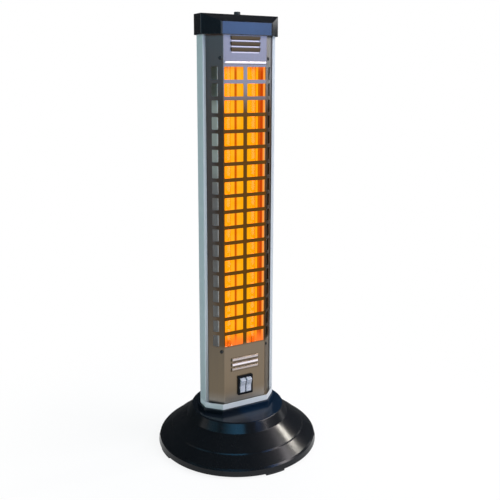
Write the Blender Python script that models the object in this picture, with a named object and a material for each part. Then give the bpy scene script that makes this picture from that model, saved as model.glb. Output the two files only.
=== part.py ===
"""Vertical quartz heater: a bent steel column with a windowed front cover on a round moulded base.

Lengths are in metres, +Z is up and the front faces -Y. The origin is the centre of the base, on the
surface that the heater stands on.
"""

import math

import bmesh
import bpy
from mathutils import Matrix, Vector

# Gaps, overruns and smoothing shared by all pieces
SEAT_GAP = 0.0003
SLIDE_GAP = 0.0005
OVERRUN = 0.004
MERGE_DISTANCE = 0.00001
SMOOTH_ANGLE = math.radians(32)
EIGHTH_TURN = math.radians(45)
HALF_FOLD = EIGHTH_TURN / 2

# Base: stepped cone with a flat deck and a low plinth, open below
FOOT_HEIGHT = 0.003
BASE_RADIUS = 0.1333
RIM_HEIGHT = 0.010
RIM_DRAFT = 0.002
RIM_SHOULDER = 0.0022
LOWER_CONE_RISE = 0.015
LOWER_CONE_RUN = 0.0197
STEP_DEPTH = 0.0012
UPPER_CONE_RISE = 0.0195
BAND_RADIUS = 0.085
BAND_RISE = 0.0148
DECK_RADIUS = 0.0764
DECK_EDGE_RADIUS = 0.003
PLINTH_RISE = 0.0067
PLINTH_CORNER = 0.004
BASE_WALL = 0.0028
BASE_SIDES = 64
RIB_COUNT = 8
RIB_THICKNESS = 0.0024
RIB_INNER_RADIUS = 0.070
RIB_INNER_DEPTH = 0.026
RIB_FOOT_CLEARANCE = 0.005
BOSS_RADIUS = 0.005
BOSS_LENGTH = 0.016

# Rubber feet: pads under the rim, each with a peg
FOOT_ANGLE = math.radians(14)
FOOT_DEPTH = 0.0145
FOOT_RIM_INSET = 0.0005
FOOT_PAD_HEIGHT = 0.0085
FOOT_PAD_INSET = 0.0018
FOOT_SEAT_THICKNESS = 0.0026
FOOT_SEAT_EXTRA_ANGLE = math.radians(1.5)

# Column in plan, measured from the front face of the steel cover
COLUMN_FORWARD = 0.0278
COVER_FLAT_HALF = 0.0372
FACET_REACH = 0.0201
COLUMN_DEPTH = 0.0415
SHELL_MARGIN = 0.0056
LIP_PROUD = 0.0027
LIP_FLAT_HALF = 0.0415
PLINTH_MARGIN = 0.0034

# Front cover: one bent stainless sheet
COVER_SHEET = 0.0007
COVER_BEND = 0.002
COVER_RETURN = 0.0121
WINDOW_CUT_DEPTH = 0.001
COVER_FOOT = 0.1055
COVER_HEAD = 0.0469
COVER_LAP = 0.0115
ROW_COUNT = 18
ROW_PITCH = 0.025
WINDOW_HEIGHT = 0.0193
GRILLE_FROM_FOLD = 0.0013
CENTRE_BAR = 0.0062
SIDE_WINDOW_WIDTH = 0.0107
SIDE_WINDOW_FROM_FOLD = 0.0086
LOUVRE_COUNT = 3
LOUVRE_PITCH = 0.0085
LOUVRE_HALF = 0.0255
LOUVRE_HEIGHT = 0.006
LOUVRE_PROUD = 0.0026
LOWER_LOUVRE_RISE = 0.0614
UPPER_LOUVRE_RISE = 0.0281
BEAD_RISE = 0.0059
BEAD_FROM_FOLD = 0.0012
BEAD_HEIGHT = 0.0046
BEAD_PROUD = 0.0011
SWITCH_RISE = 0.0344
FACET_SCREW_FROM_FOLD = 0.0048
SCREW_BELOW_ROWS = 0.0081
SCREW_ABOVE_ROWS = 0.0126

# Bottom tray: folded white pan that closes the column
TRAY_SHEET = 0.001
TRAY_LIP = 0.0088

# Back shell: white channel with a narrow front return
SHELL_SHEET = 0.0008
SHELL_BEND = 0.002
SHELL_RETURN_BEND = 0.0009
VENT_COUNT = 6
VENT_PITCH = 0.009
VENT_HALF_LENGTH = 0.040
VENT_HEIGHT = 0.0035
VENT_INSET = 0.024
VENT_ROUND_SHARE = 0.45

# Reflector: polished trough behind the tubes
REFLECTOR_SHEET = 0.0005
REFLECTOR_DEPTH = 0.033
REFLECTOR_SIDE_ROOM = 0.0143
REFLECTOR_CORNER = 0.004
REFLECTOR_RIDGE_HALF = 0.002
REFLECTOR_RIDGE = 0.002
REFLECTOR_WING_FRONT = 0.0085

# End plates that carry the tubes
PLATE_SHEET = 0.0012
PLATE_EDGE_STEP = 0.0002
PLATE_BEYOND_ROWS = 0.020
PLATE_FLANGE_HALF = 0.030
PLATE_FLANGE_HEIGHT = 0.012
PLATE_SCREW_HALF = 0.022
PLATE_TAB_START = 0.0012
PLATE_TAB_WIDTH = 0.0063
PLATE_TAB_MARGIN = 0.0045
WIRE_HOLE_RADIUS = 0.003
WIRE_HOLE_FROM_SIDE = 0.0075
WIRE_HOLE_DEPTH = 0.029

# Quartz tubes, elements, ceramic end caps and terminal pins
TUBE_X = 0.022
TUBE_DEPTH = 0.018
TUBE_RADIUS = 0.0055
TUBE_WALL = 0.0012
END_CAP_RADIUS = 0.0075
END_CAP_HEIGHT = 0.014
END_CAP_NECK_RADIUS = 0.0062
END_CAP_NECK = 0.006
END_CAP_SOCKET = 0.008
PIN_RADIUS = 0.0015
PIN_BORE_GAP = 0.0003
PIN_LENGTH_OUT = 0.012
PIN_NUT_RADIUS = 0.0032
PIN_NUT_HEIGHT = 0.0024
COIL_RADIUS = 0.0032
COIL_WIRE = 0.0009
COIL_TURNS = 24
COIL_STEPS = 8
COIL_LEAD = 0.026

# Cap, its strap, stud and nut
CAP_MARGIN = 0.0037
CAP_BACK_MARGIN = 0.0035
CAP_FRONT_HEIGHT = 0.0186
CAP_HEIGHT = 0.0307
CAP_ROOF_RUN = 0.0229
CAP_CORNER = 0.0045
CAP_EDGE = 0.0013
CAP_WALL = 0.002
CAP_BOSS_RADIUS = 0.005
STRAP_SHEET = 0.0012
STRAP_WIDTH = 0.010
STRAP_DEPTH = 0.028
STRAP_LEG = 0.012
STUD_RADIUS = 0.0024
STUD_HEAD_RADIUS = 0.004
STUD_HEAD_HEIGHT = 0.002
NUT_RADIUS = 0.005
NUT_HEIGHT = 0.0047
STUD_RECESS = 0.0008
NUT_FLUTES = 10
NUT_FLUTE_RADIUS = 0.0007
RIVET_RADIUS = 0.0014
RIVET_HEAD_RADIUS = 0.0025
RIVET_HEAD_HEIGHT = 0.0007
RIVET_DROP = 0.0062

# Double rocker switch, measured from its own middle
BEZEL_WIDTH = 0.0276
BEZEL_HEIGHT = 0.033
BEZEL_PROUD = 0.0025
BEZEL_EDGE = 0.0008
HOUSING_WALL = 0.0013
HOUSING_DEPTH = 0.018
HOUSING_POCKET_DEPTH = 0.0115
POCKET_HALF_WIDTH = 0.0106
POCKET_HALF_HEIGHT = 0.014
ROCKER_WIDTH = 0.0089
ROCKER_MIDDLE_GAP = 0.0022
ROCKER_END_RADIUS = 0.0128
ROCKER_PIVOT_DEPTH = 0.0035
ROCKER_MIDDLE_PROUD = 0.0008
ROCKER_END_PROUD = 0.003
ROCKER_SKIRT = 0.001
ROCKER_KEEL_HALF = 0.003
ROCKER_KEEL_DEPTH = 0.0055
ROCKER_EDGE = 0.0004
ROCKER_TILT = math.radians(10)
PIVOT_RADIUS = 0.001
PIVOT_BORE_GAP = 0.0001
BLADE_WIDTH = 0.0063
BLADE_THICKNESS = 0.0008
BLADE_LENGTH = 0.008
BLADE_X = 0.0052
BLADE_Z = 0.008

# Parts on the tray and the back panel
BLOCK_FROM_SIDE = 0.0201
BLOCK_WIDTH = 0.016
BLOCK_DEPTH = 0.012
BLOCK_HEIGHT = 0.024
BLOCK_RISE = 0.0134
BLOCK_EDGE = 0.0008
BLOCK_SCREW_COUNT = 3
BLOCK_SCREW_RADIUS = 0.0016
BLOCK_SCREW_RECESS = 0.0015
BLOCK_WELL_RADIUS = 0.0024
BLOCK_WELL = 0.004
TILT_X = 0.023
TILT_WIDTH = 0.018
TILT_DEPTH = 0.014
TILT_HEIGHT = 0.020
TILT_FROM_FRONT = 0.022
TILT_EDGE = 0.001
GLAND_RISE = 0.0219
GLAND_FLANGE_RADIUS = 0.009
GLAND_FLANGE = 0.003
GLAND_SNOUT_RADIUS = 0.0062
GLAND_SNOUT_TIP_RADIUS = 0.0053
GLAND_SNOUT = 0.009
GLAND_BORE_RADIUS = 0.0036
GLAND_THREAD_RADIUS = 0.0058
GLAND_NUT_RADIUS = 0.0085
GLAND_NUT = 0.004
GLAND_INSIDE = 0.0055
EARTH_X = 0.022
EARTH_DEPTH = 0.022
EARTH_RADIUS = 0.002
EARTH_HEIGHT = 0.009
EARTH_NUT_RADIUS = 0.0038
EARTH_NUT_HEIGHT = 0.003
EARTH_NUT_RISE = 0.0034

# Wires
WIRE_RADIUS = 0.0011
WIRE_STEPS = 3
WIRE_LEAD = 0.003
WIRE_PLAY = 0.006
ELEMENT_BEND_SHARE = 0.8

# Fasteners
SCREW_RADIUS = 0.0015
SCREW_CLEARANCE = 0.0003
SCREW_HEAD_RADIUS = 0.0028
SCREW_HEAD_HEIGHT = 0.0017
SCREW_GRIP = 0.004
BASE_SCREW_RADIUS = 0.0019
BASE_SCREW_HEAD_RADIUS = 0.0038
BASE_SCREW_HEAD_HEIGHT = 0.0024
BASE_SCREW_FROM_SIDE = 0.0133
BASE_SCREW_DEPTHS = {"front": 0.014, "back": 0.032}
SHELL_SCREW_X = 0.050
SHELL_SCREW_RISE = 0.0049
SCREW_SIDES = 8
TUBE_SIDES = 14
ROCKER_BORE_SIDES = 12
SIDES = {"left": -1, "right": 1}
HEAD_CROWN_SHARE = 0.6
HEAD_TOP_SHARE = 0.7

# Planes and levels that follow from the sizes above
front_y = -COLUMN_FORWARD
side_x = COVER_FLAT_HALF + FACET_REACH
grille_half = COVER_FLAT_HALF - GRILLE_FROM_FOLD
bead_half = COVER_FLAT_HALF - BEAD_FROM_FOLD
reflector_half = side_x - REFLECTOR_SIDE_ROOM
wire_channel_x = side_x - WIRE_HOLE_FROM_SIDE
facet_back_y = front_y + FACET_REACH
shell_x = side_x + SHELL_MARGIN
shell_back_y = front_y + COLUMN_DEPTH
shell_inner_x = shell_x - SHELL_SHEET
shell_inner_y = shell_back_y - SHELL_SHEET
rim_bottom = FOOT_HEIGHT
rim_top = rim_bottom + RIM_HEIGHT
rim_top_radius = BASE_RADIUS - RIM_DRAFT
step_radius = rim_top_radius - LOWER_CONE_RUN
step_level = rim_top + LOWER_CONE_RISE
band_bottom = step_level + UPPER_CONE_RISE
deck_level = band_bottom + BAND_RISE
plinth_top = deck_level + PLINTH_RISE
tray_bottom = plinth_top + SEAT_GAP
tray_floor = tray_bottom + TRAY_SHEET
cover_bottom = tray_floor + SEAT_GAP
rows_bottom = cover_bottom + COVER_FOOT
rows_top = rows_bottom + ROW_PITCH * (ROW_COUNT - 1) + WINDOW_HEIGHT
cap_bottom = rows_top + COVER_HEAD
cover_top = cap_bottom + COVER_LAP
cap_top = cap_bottom + CAP_HEIGHT
lower_plate_top = rows_bottom - PLATE_BEYOND_ROWS
upper_plate_bottom = rows_top + PLATE_BEYOND_ROWS
strap_bottom = cover_top + SEAT_GAP
strap_top = strap_bottom + STRAP_SHEET
switch_z = cover_bottom + SWITCH_RISE
bezel_front_y = front_y - SEAT_GAP - BEZEL_PROUD
pivot_y = bezel_front_y + ROCKER_PIVOT_DEPTH
tube_y = front_y + TUBE_DEPTH
strap_y = front_y + STRAP_DEPTH

# Finishes: base colour, roughness, metallic
FINISHES = {
    "base_plastic": ((0.022, 0.023, 0.026), 0.34, 0.0),
    "cap_plastic": ((0.012, 0.014, 0.018), 0.16, 0.0),
    "foot_rubber": ((0.02, 0.02, 0.02), 0.8, 0.0),
    "white_paint": ((0.66, 0.71, 0.73), 0.3, 0.0),
    "stainless": ((0.50, 0.47, 0.43), 0.3, 1.0),
    "reflector_metal": ((0.9, 0.72, 0.5), 0.14, 1.0),
    "zinc_steel": ((0.52, 0.53, 0.54), 0.42, 1.0),
    "quartz": ((0.95, 0.9, 0.85), 0.08, 0.0),
    "element_wire": ((1.0, 0.45, 0.1), 0.5, 1.0),
    "ceramic": ((0.82, 0.79, 0.72), 0.45, 0.0),
    "brass": ((0.72, 0.55, 0.25), 0.32, 1.0),
    "black_steel": ((0.03, 0.03, 0.03), 0.35, 1.0),
    "switch_plastic": ((0.015, 0.015, 0.017), 0.3, 0.0),
    "rocker_plastic": ((0.74, 0.78, 0.84), 0.3, 0.0),
    "wire_cover": ((0.62, 0.6, 0.56), 0.6, 0.0),
}


def clear_scene():
    for item in list(bpy.data.objects):
        bpy.data.objects.remove(item, do_unlink=True)


def dress(piece, finish):
    colour, roughness, metallic = FINISHES[finish]
    material = bpy.data.materials.new(piece.name + "_finish")
    material.use_nodes = True
    shader = material.node_tree.nodes["Principled BSDF"]
    shader.inputs["Base Color"].default_value = (*colour, 1.0)
    shader.inputs["Roughness"].default_value = roughness
    shader.inputs["Metallic"].default_value = metallic
    piece.data.materials.append(material)


def place(name, data, finish=None, location=(0, 0, 0), rotation=(0, 0, 0)):
    piece = bpy.data.objects.new(name, data)
    piece.location = location
    piece.rotation_euler = rotation
    bpy.context.scene.collection.objects.link(piece)
    if finish and not data.materials:
        dress(piece, finish)
    return piece


def to_mesh(name, bm):
    bmesh.ops.recalc_face_normals(bm, faces=bm.faces)
    mesh = bpy.data.meshes.new(name)
    bm.to_mesh(mesh)
    bm.free()
    mesh.shade_smooth()
    mesh.set_sharp_from_angle(angle=SMOOTH_ANGLE)
    return mesh


def guide(name, bm):
    """A hidden body that only cuts or extends a piece."""
    tool = place(name, to_mesh(name, bm))
    tool.hide_render = True
    tool.display_type = "WIRE"
    return tool


def combine(piece, tool, operation):
    step = piece.modifiers.new(tool.name, "BOOLEAN")
    step.operation = operation
    step.solver = "EXACT"
    step.object = tool


def cut(piece, name, bm):
    combine(piece, guide(name, bm), "DIFFERENCE")


def add(piece, name, bm):
    combine(piece, guide(name, bm), "UNION")


# Outlines in two dimensions


def chamfered_plan(flat_half, side, plan_front_y, margin, back_y):
    """A front with 45 degree corners, moved outwards by a margin, from front left round."""
    front = flat_half + margin * math.tan(HALF_FOLD)
    side = side + margin
    front_edge_y = plan_front_y - margin
    shoulder_y = front_edge_y + side - front
    return [
        (-front, front_edge_y),
        (front, front_edge_y),
        (side, shoulder_y),
        (side, back_y),
        (-side, back_y),
        (-side, shoulder_y),
    ]


def cover_plan(margin, back_y):
    return chamfered_plan(COVER_FLAT_HALF, side_x, front_y, margin, back_y)


def body_plan(margin, back_y):
    """The plan that the tray's lip, the plinth and the cap share, wider than the steel cover."""
    return chamfered_plan(LIP_FLAT_HALF, shell_x, front_y - LIP_PROUD, margin, back_y)


def corner_arc(before, corner, after, radius, steps):
    """The points of the arc that rounds one corner of an outline."""
    corner = Vector(corner)
    backward = (Vector(before) - corner).normalized()
    onward = (Vector(after) - corner).normalized()
    half_turn = (math.pi - backward.angle(onward)) / 2
    centre = corner + (backward + onward).normalized() * radius / math.cos(half_turn)
    start = corner + backward * radius * math.tan(half_turn) - centre
    turn = 2 * half_turn
    if backward.x * onward.y - backward.y * onward.x > 0:
        turn = -turn
    arc = []
    for step in range(steps + 1):
        angle = turn * step / steps
        cosine, sine = math.cos(angle), math.sin(angle)
        arc.append((
            centre.x + start.x * cosine - start.y * sine,
            centre.y + start.x * sine + start.y * cosine,
        ))
    return arc


def rounded_outline(points, radius, steps=3):
    """A closed outline with every corner rounded."""
    result = []
    for index, corner in enumerate(points):
        after = points[(index + 1) % len(points)]
        result += corner_arc(points[index - 1], corner, after, radius, steps)
    return result


def rounded_path(points, radii, steps=3):
    """An open path with each inner corner rounded to its own radius."""
    result = [points[0]]
    for index, radius in enumerate(radii, start=1):
        result += corner_arc(points[index - 1], points[index], points[index + 1], radius, steps)
    return result + [points[-1]]


def offset_path(points, distance):
    """An open path moved sideways, to the right of its direction, with mitred corners."""
    normals = []
    for start, end in zip(points, points[1:]):
        along = (Vector(end) - Vector(start)).normalized()
        normals.append(Vector((along.y, -along.x)))
    result = []
    for index, point in enumerate(points):
        before = normals[max(index - 1, 0)]
        after = normals[min(index, len(normals) - 1)]
        mitre = (before + after).normalized()
        moved = Vector(point) + mitre * distance / mitre.dot(before)
        result.append((moved.x, moved.y))
    return result


def rectangle(width, height, corner=0):
    """A rectangle about its middle, with its corners cut off where corner is given."""
    x, y = width / 2, height / 2
    if not corner:
        return [(-x, -y), (x, -y), (x, y), (-x, y)]
    return [
        (-x + corner, -y), (x - corner, -y), (x, -y + corner), (x, y - corner),
        (x - corner, y), (-x + corner, y), (-x, y - corner), (-x, -y + corner),
    ]


# Bodies in three dimensions


def facing(origin, normal):
    """A frame on an upright face: local X to its right, local Y up, local Z along its normal."""
    up = Vector((0, 0, 1))
    normal = Vector(normal).normalized()
    frame = Matrix((up.cross(normal), up, normal)).transposed().to_4x4()
    frame.translation = origin
    return frame


def grow_prism(bm, outline, low, high, frame=None):
    """Extrudes an outline between two heights of a frame."""
    frame = frame or Matrix()
    face = bm.faces.new([bm.verts.new(frame @ Vector((x, y, low))) for x, y in outline])
    grown = bmesh.ops.extrude_face_region(bm, geom=[face])
    moved = [item for item in grown["geom"] if isinstance(item, bmesh.types.BMVert)]
    bmesh.ops.translate(bm, verts=moved, vec=frame.to_3x3() @ Vector((0, 0, high - low)))


def prism(outline, low, high, frame=None):
    bm = bmesh.new()
    grow_prism(bm, outline, low, high, frame)
    return bm


def box(width, depth, low, high, middle=(0, 0)):
    outline = [(x + middle[0], y + middle[1]) for x, y in rectangle(width, depth)]
    return prism(outline, low, high)


def grow_turned(bm, profile, sides, frame=None, closed=False, angle=math.tau):
    """Spins a profile of (radius, height) pairs about Z; closed joins its last point to its first."""
    part = bmesh.new()
    verts = [part.verts.new((radius, 0, height)) for radius, height in profile]
    pairs = list(zip(verts, verts[1:]))
    if closed:
        pairs.append((verts[-1], verts[0]))
    edges = [part.edges.new(pair) for pair in pairs]
    geometry = verts + edges
    if angle < math.tau:
        geometry.append(part.faces.new(verts))
        bmesh.ops.rotate(part, verts=verts, matrix=Matrix.Rotation(-angle / 2, 3, "Z"))
    bmesh.ops.spin(part, geom=geometry, axis=(0, 0, 1), angle=angle, steps=sides)
    bmesh.ops.remove_doubles(part, verts=part.verts, dist=MERGE_DISTANCE)
    bmesh.ops.recalc_face_normals(part, faces=part.faces)
    if frame:
        part.transform(frame)
    scratch = bpy.data.meshes.new("turned")
    part.to_mesh(scratch)
    part.free()
    bm.from_mesh(scratch)
    bpy.data.meshes.remove(scratch)


def turned(profile, sides, frame=None, closed=False):
    bm = bmesh.new()
    grow_turned(bm, profile, sides, frame, closed)
    return bm


def rod_profile(radius, low, high):
    return [(0, low), (radius, low), (radius, high), (0, high)]


def sheet(name, path, thickness, low, high, finish):
    """A folded sheet: an upright strip along a path, thickened away from its outer face."""
    bm = bmesh.new()
    lower = [bm.verts.new((x, y, low)) for x, y in path]
    upper = [bm.verts.new((x, y, high)) for x, y in path]
    for index in range(len(path) - 1):
        bm.faces.new((lower[index], lower[index + 1], upper[index + 1], upper[index]))
    mesh = bpy.data.meshes.new(name)
    bm.to_mesh(mesh)
    bm.free()
    mesh.shade_smooth()
    mesh.set_sharp_from_angle(angle=SMOOTH_ANGLE)
    piece = place(name, mesh, finish)
    thicken = piece.modifiers.new("thickness", "SOLIDIFY")
    thicken.thickness = thickness
    thicken.offset = -1
    thicken.use_even_offset = True
    return piece


def soften(piece, width, segments=2, angle=math.radians(40)):
    """Rounds the sharp edges of a piece."""
    step = piece.modifiers.new("edges", "BEVEL")
    step.width = width
    step.segments = segments
    step.limit_method = "ANGLE"
    step.angle_limit = angle


def grow_capsule(bm, half_length, radius, depth, frame, sides=16, cap_steps=3):
    """A round-ended bar along local X, flattened to a depth along local Z."""
    straight = half_length - radius
    profile = []
    for step in range(cap_steps + 1):
        angle = EIGHTH_TURN * 2 * step / cap_steps
        profile.append((radius * math.sin(angle), -straight - radius * math.cos(angle)))
    profile += [(ring, -height) for ring, height in reversed(profile)]
    lay_down = Matrix.Rotation(EIGHTH_TURN * 2, 4, "Y")
    flatten = Matrix.Diagonal((1, 1, depth / radius, 1))
    grow_turned(bm, profile, sides, frame @ flatten @ lay_down)


def keep_side(bm, point, normal):
    """Cuts a closed body by a plane and keeps the side that the normal points away from."""
    everything = bm.verts[:] + bm.edges[:] + bm.faces[:]
    bmesh.ops.bisect_plane(
        bm, geom=everything, dist=MERGE_DISTANCE, plane_co=point, plane_no=normal, clear_outer=True
    )
    rim = [edge for edge in bm.edges if edge.is_boundary]
    bmesh.ops.holes_fill(bm, edges=rim)


# Screws and rivets


def screw_profile(head_radius, head_height, radius, length):
    """A pan head that stands on its seat at height 0, with its shank below."""
    crown = head_height * HEAD_CROWN_SHARE
    return [
        (0, -length),
        (radius, -length),
        (radius, SEAT_GAP),
        (head_radius, SEAT_GAP),
        (head_radius, SEAT_GAP + crown),
        (head_radius * HEAD_TOP_SHARE, SEAT_GAP + head_height),
        (0, SEAT_GAP + head_height),
    ]


def fastener_set(name, frames, profile, finish, sides=SCREW_SIDES):
    """Identical fasteners, one object for each named frame."""
    mesh = to_mesh(name, turned(profile, sides))
    for spot, frame in frames.items():
        place(f"{name}_{spot}", mesh, finish, frame.translation, frame.to_euler())


def facet_frame(side, from_fold, height):
    """A frame on the outer face of a facet; side is -1 for the left one and 1 for the right."""
    run = from_fold * math.cos(EIGHTH_TURN)
    origin = (side * (COVER_FLAT_HALF + run), front_y + run, height)
    return facing(origin, (side, -1, 0))


def spots(places, levels):
    """Named places in pairs: a level or depth for each word, to the left and to the right."""
    return {
        f"{word}_{name}": (side * places, level)
        for word, level in levels.items()
        for name, side in SIDES.items()
    }


def cover_screw_frames():
    levels = {"bottom": rows_bottom - SCREW_BELOW_ROWS, "top": rows_top + SCREW_ABOVE_ROWS}
    return {
        name: facet_frame(side, FACET_SCREW_FROM_FOLD, level)
        for name, (side, level) in spots(1, levels).items()
    }


def back_frames(places):
    return {name: facing((x, shell_back_y, z), (0, 1, 0)) for name, (x, z) in places.items()}


def plate_screw_spots():
    low = lower_plate_top - PLATE_SHEET - PLATE_FLANGE_HEIGHT / 2
    high = upper_plate_bottom + PLATE_SHEET + PLATE_FLANGE_HEIGHT / 2
    return spots(PLATE_SCREW_HALF, {"bottom": low, "top": high})


def tray_screw_spots():
    return spots(SHELL_SCREW_X, {"back": tray_bottom + SHELL_SCREW_RISE})


def base_screw_spots():
    levels = {word: front_y + depth for word, depth in BASE_SCREW_DEPTHS.items()}
    return spots(side_x - BASE_SCREW_FROM_SIDE, levels)


def rivet_frames():
    level = cover_top - RIVET_DROP
    return {
        name: facing((side * shell_x, strap_y, level), (side, 0, 0)) for name, side in SIDES.items()
    }


def drill(piece, name, frames, radius, reach=OVERRUN, sides=SCREW_SIDES):
    """Round holes along the normals of some frames."""
    bm = bmesh.new()
    for frame in frames.values():
        grow_turned(bm, rod_profile(radius, -reach, OVERRUN), sides, frame)
    cut(piece, name, bm)


# Base


def base_outer_profile():
    """From the deck's middle down the outside to the lower edge of the rim."""
    deck_edge = corner_arc(
        (0, deck_level),
        (DECK_RADIUS, deck_level),
        (BAND_RADIUS, band_bottom),
        DECK_EDGE_RADIUS,
        3,
    )
    return [
        (0, deck_level),
        *deck_edge,
        (BAND_RADIUS, band_bottom),
        (step_radius - STEP_DEPTH, step_level + STEP_DEPTH / 2),
        (step_radius, step_level - STEP_DEPTH),
        (rim_top_radius - RIM_SHOULDER, rim_top + STEP_DEPTH / 2),
        (rim_top_radius, rim_top - RIM_SHOULDER),
        (BASE_RADIUS, rim_bottom),
    ]


def wall_profile(inset):
    """The base's outer profile moved into its wall, without the edge rounding and the steps."""
    corners = [
        (0, deck_level),
        (DECK_RADIUS, deck_level),
        (BAND_RADIUS, band_bottom),
        (step_radius, step_level),
        (rim_top_radius, rim_top),
        (BASE_RADIUS, rim_bottom),
    ]
    moved = offset_path(corners, inset)
    last_radius = moved[-1][0]
    return moved[:-1] + [(last_radius, rim_bottom)]


def base_shell():
    profile = base_outer_profile() + wall_profile(BASE_WALL)[::-1]
    base = place("base_shell", to_mesh("base_shell", turned(profile, BASE_SIDES)), "base_plastic")
    plinth_back = shell_back_y + PLINTH_MARGIN
    plinth = rounded_outline(body_plan(PLINTH_MARGIN, plinth_back), PLINTH_CORNER)
    add(base, "plinth_body", prism(plinth, deck_level - BASE_WALL / 2, plinth_top))
    hollow = body_plan(PLINTH_MARGIN - BASE_WALL, plinth_back - BASE_WALL)
    cut(base, "plinth_hollow", prism(hollow, deck_level - BASE_WALL - OVERRUN, plinth_top - BASE_WALL))
    add(base, "base_ribs", base_ribs())
    add(base, "foot_seats", foot_seats())
    bosses = bmesh.new()
    holes = bmesh.new()
    for x, y in base_screw_spots().values():
        frame = Matrix.Translation((x, y, plinth_top))
        boss = rod_profile(BOSS_RADIUS, -BOSS_LENGTH, -BASE_WALL / 2)
        grow_turned(bosses, boss, SCREW_SIDES, frame)
        hole = rod_profile(BASE_SCREW_RADIUS + SCREW_CLEARANCE, -BOSS_LENGTH - OVERRUN, OVERRUN)
        grow_turned(holes, hole, SCREW_SIDES, frame)
    add(base, "screw_bosses", bosses)
    cut(base, "screw_holes", holes)
    return base


def base_ribs():
    """Upright ribs below the cones, each a flat plate along a radius."""
    middle = wall_profile(BASE_WALL / 2)
    upper = [point for point in middle if point[0] > RIB_INNER_RADIUS]
    lower_z = rim_bottom + RIB_FOOT_CLEARANCE
    outline = [
        (RIB_INNER_RADIUS, deck_level - BASE_WALL / 2),
        (RIB_INNER_RADIUS, deck_level - RIB_INNER_DEPTH),
        (upper[-2][0], lower_z),
        *upper[-2::-1],
    ]
    bm = bmesh.new()
    for index in range(RIB_COUNT):
        angle = HALF_FOLD + math.tau * index / RIB_COUNT
        frame = facing((0, 0, 0), (math.sin(angle), -math.cos(angle), 0))
        grow_prism(bm, outline, -RIB_THICKNESS / 2, RIB_THICKNESS / 2, frame)
    return bm


def foot_radii():
    outer = BASE_RADIUS - FOOT_RIM_INSET
    shoulder = rim_top_radius - BASE_WALL - FOOT_PAD_INSET
    return outer - FOOT_DEPTH, shoulder, outer


def foot_frames():
    """Front, right, back and left, each with local X pointing outwards."""
    names = ("front", "right", "back", "left")
    return {
        name: Matrix.Rotation(math.pi * (index - 1) / 2, 4, "Z") for index, name in enumerate(names)
    }


def foot_seats():
    """Short shelves inside the rim that the feet press against."""
    inner = foot_radii()[0]
    low = FOOT_PAD_HEIGHT + SEAT_GAP
    high = low + FOOT_SEAT_THICKNESS
    wall = rim_top_radius - BASE_WALL / 2
    section = [(inner, low), (wall, low), (wall, high), (inner, high)]
    bm = bmesh.new()
    angle = FOOT_ANGLE + 2 * FOOT_SEAT_EXTRA_ANGLE
    for frame in foot_frames().values():
        grow_turned(bm, section, 3, frame, closed=True, angle=angle)
    return bm


def feet():
    """Stepped rubber pads, flush with the rim below and tucked inside it above."""
    inner, shoulder, outer = foot_radii()
    lip = FOOT_HEIGHT - SEAT_GAP
    section = [
        (inner, 0), (outer, 0), (outer, lip), (shoulder, lip),
        (shoulder, FOOT_PAD_HEIGHT), (inner, FOOT_PAD_HEIGHT),
    ]
    bm = bmesh.new()
    grow_turned(bm, section, 4, closed=True, angle=FOOT_ANGLE)
    mesh = to_mesh("foot", bm)
    for name, frame in foot_frames().items():
        place("foot_" + name, mesh, "foot_rubber", rotation=frame.to_euler())


# Tray and back shell


def shell_front():
    """Where the tray's front lip ends, and the shell's front return a gap behind it."""
    lip_end_y = body_plan(0, shell_back_y)[2][1]
    return lip_end_y, lip_end_y + SEAT_GAP


def tray_plan(inset):
    """In front the lip follows the chamfers; behind a slot for the shell's return it runs inside."""
    front_right = body_plan(-inset, shell_back_y)[1]
    side = shell_inner_x - SEAT_GAP - inset
    back = shell_inner_y - SEAT_GAP - inset
    if inset:
        shoulder = [(side, front_right[1] + side - front_right[0])]
    else:
        lip_end_y, return_y = shell_front()
        slot_end_y = return_y + SHELL_SHEET + SEAT_GAP
        shoulder = [
            (shell_x, lip_end_y), (side_x, lip_end_y), (side_x, slot_end_y), (side, slot_end_y),
        ]
    right = [front_right, *shoulder, (side, back - SHELL_BEND), (side - SHELL_BEND, back)]
    return right + [(-x, y) for x, y in reversed(right)]


def bottom_tray():
    mesh = to_mesh("bottom_tray", prism(tray_plan(0), tray_bottom, tray_bottom + TRAY_LIP))
    tray = place("bottom_tray", mesh, "white_paint")
    cut(tray, "tray_hollow", prism(tray_plan(TRAY_SHEET), tray_floor, tray_bottom + TRAY_LIP + OVERRUN))
    base_frames = {
        name: Matrix.Translation((x, y, tray_floor)) for name, (x, y) in base_screw_spots().items()
    }
    drill(tray, "tray_base_holes", base_frames, BASE_SCREW_RADIUS + SCREW_CLEARANCE)
    back_holes = back_frames(tray_screw_spots())
    drill(tray, "tray_back_holes", back_holes, SCREW_RADIUS + SCREW_CLEARANCE)


def back_shell():
    """Runs round the back from the right-hand front return to the left-hand one."""
    return_y = shell_front()[1]
    return_x = side_x + SEAT_GAP
    corners = [
        (return_x, return_y),
        (shell_x, return_y),
        (shell_x, shell_back_y),
        (-shell_x, shell_back_y),
        (-shell_x, return_y),
        (-return_x, return_y),
    ]
    path = rounded_path(corners, (SHELL_RETURN_BEND, SHELL_BEND, SHELL_BEND, SHELL_RETURN_BEND), 2)
    shell = sheet("back_shell", path, SHELL_SHEET, tray_bottom, cover_top, "white_paint")
    cut(shell, "shell_vents", shell_vents())
    places = plate_screw_spots() | tray_screw_spots()
    drill(shell, "shell_back_holes", back_frames(places), SCREW_RADIUS + SCREW_CLEARANCE)
    drill(shell, "shell_rivet_holes", rivet_frames(), RIVET_RADIUS + SCREW_CLEARANCE)
    gland_hole = GLAND_THREAD_RADIUS + SCREW_CLEARANCE
    drill(shell, "shell_gland_hole", {"gland": gland_frame()}, gland_hole, sides=TUBE_SIDES)


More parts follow.
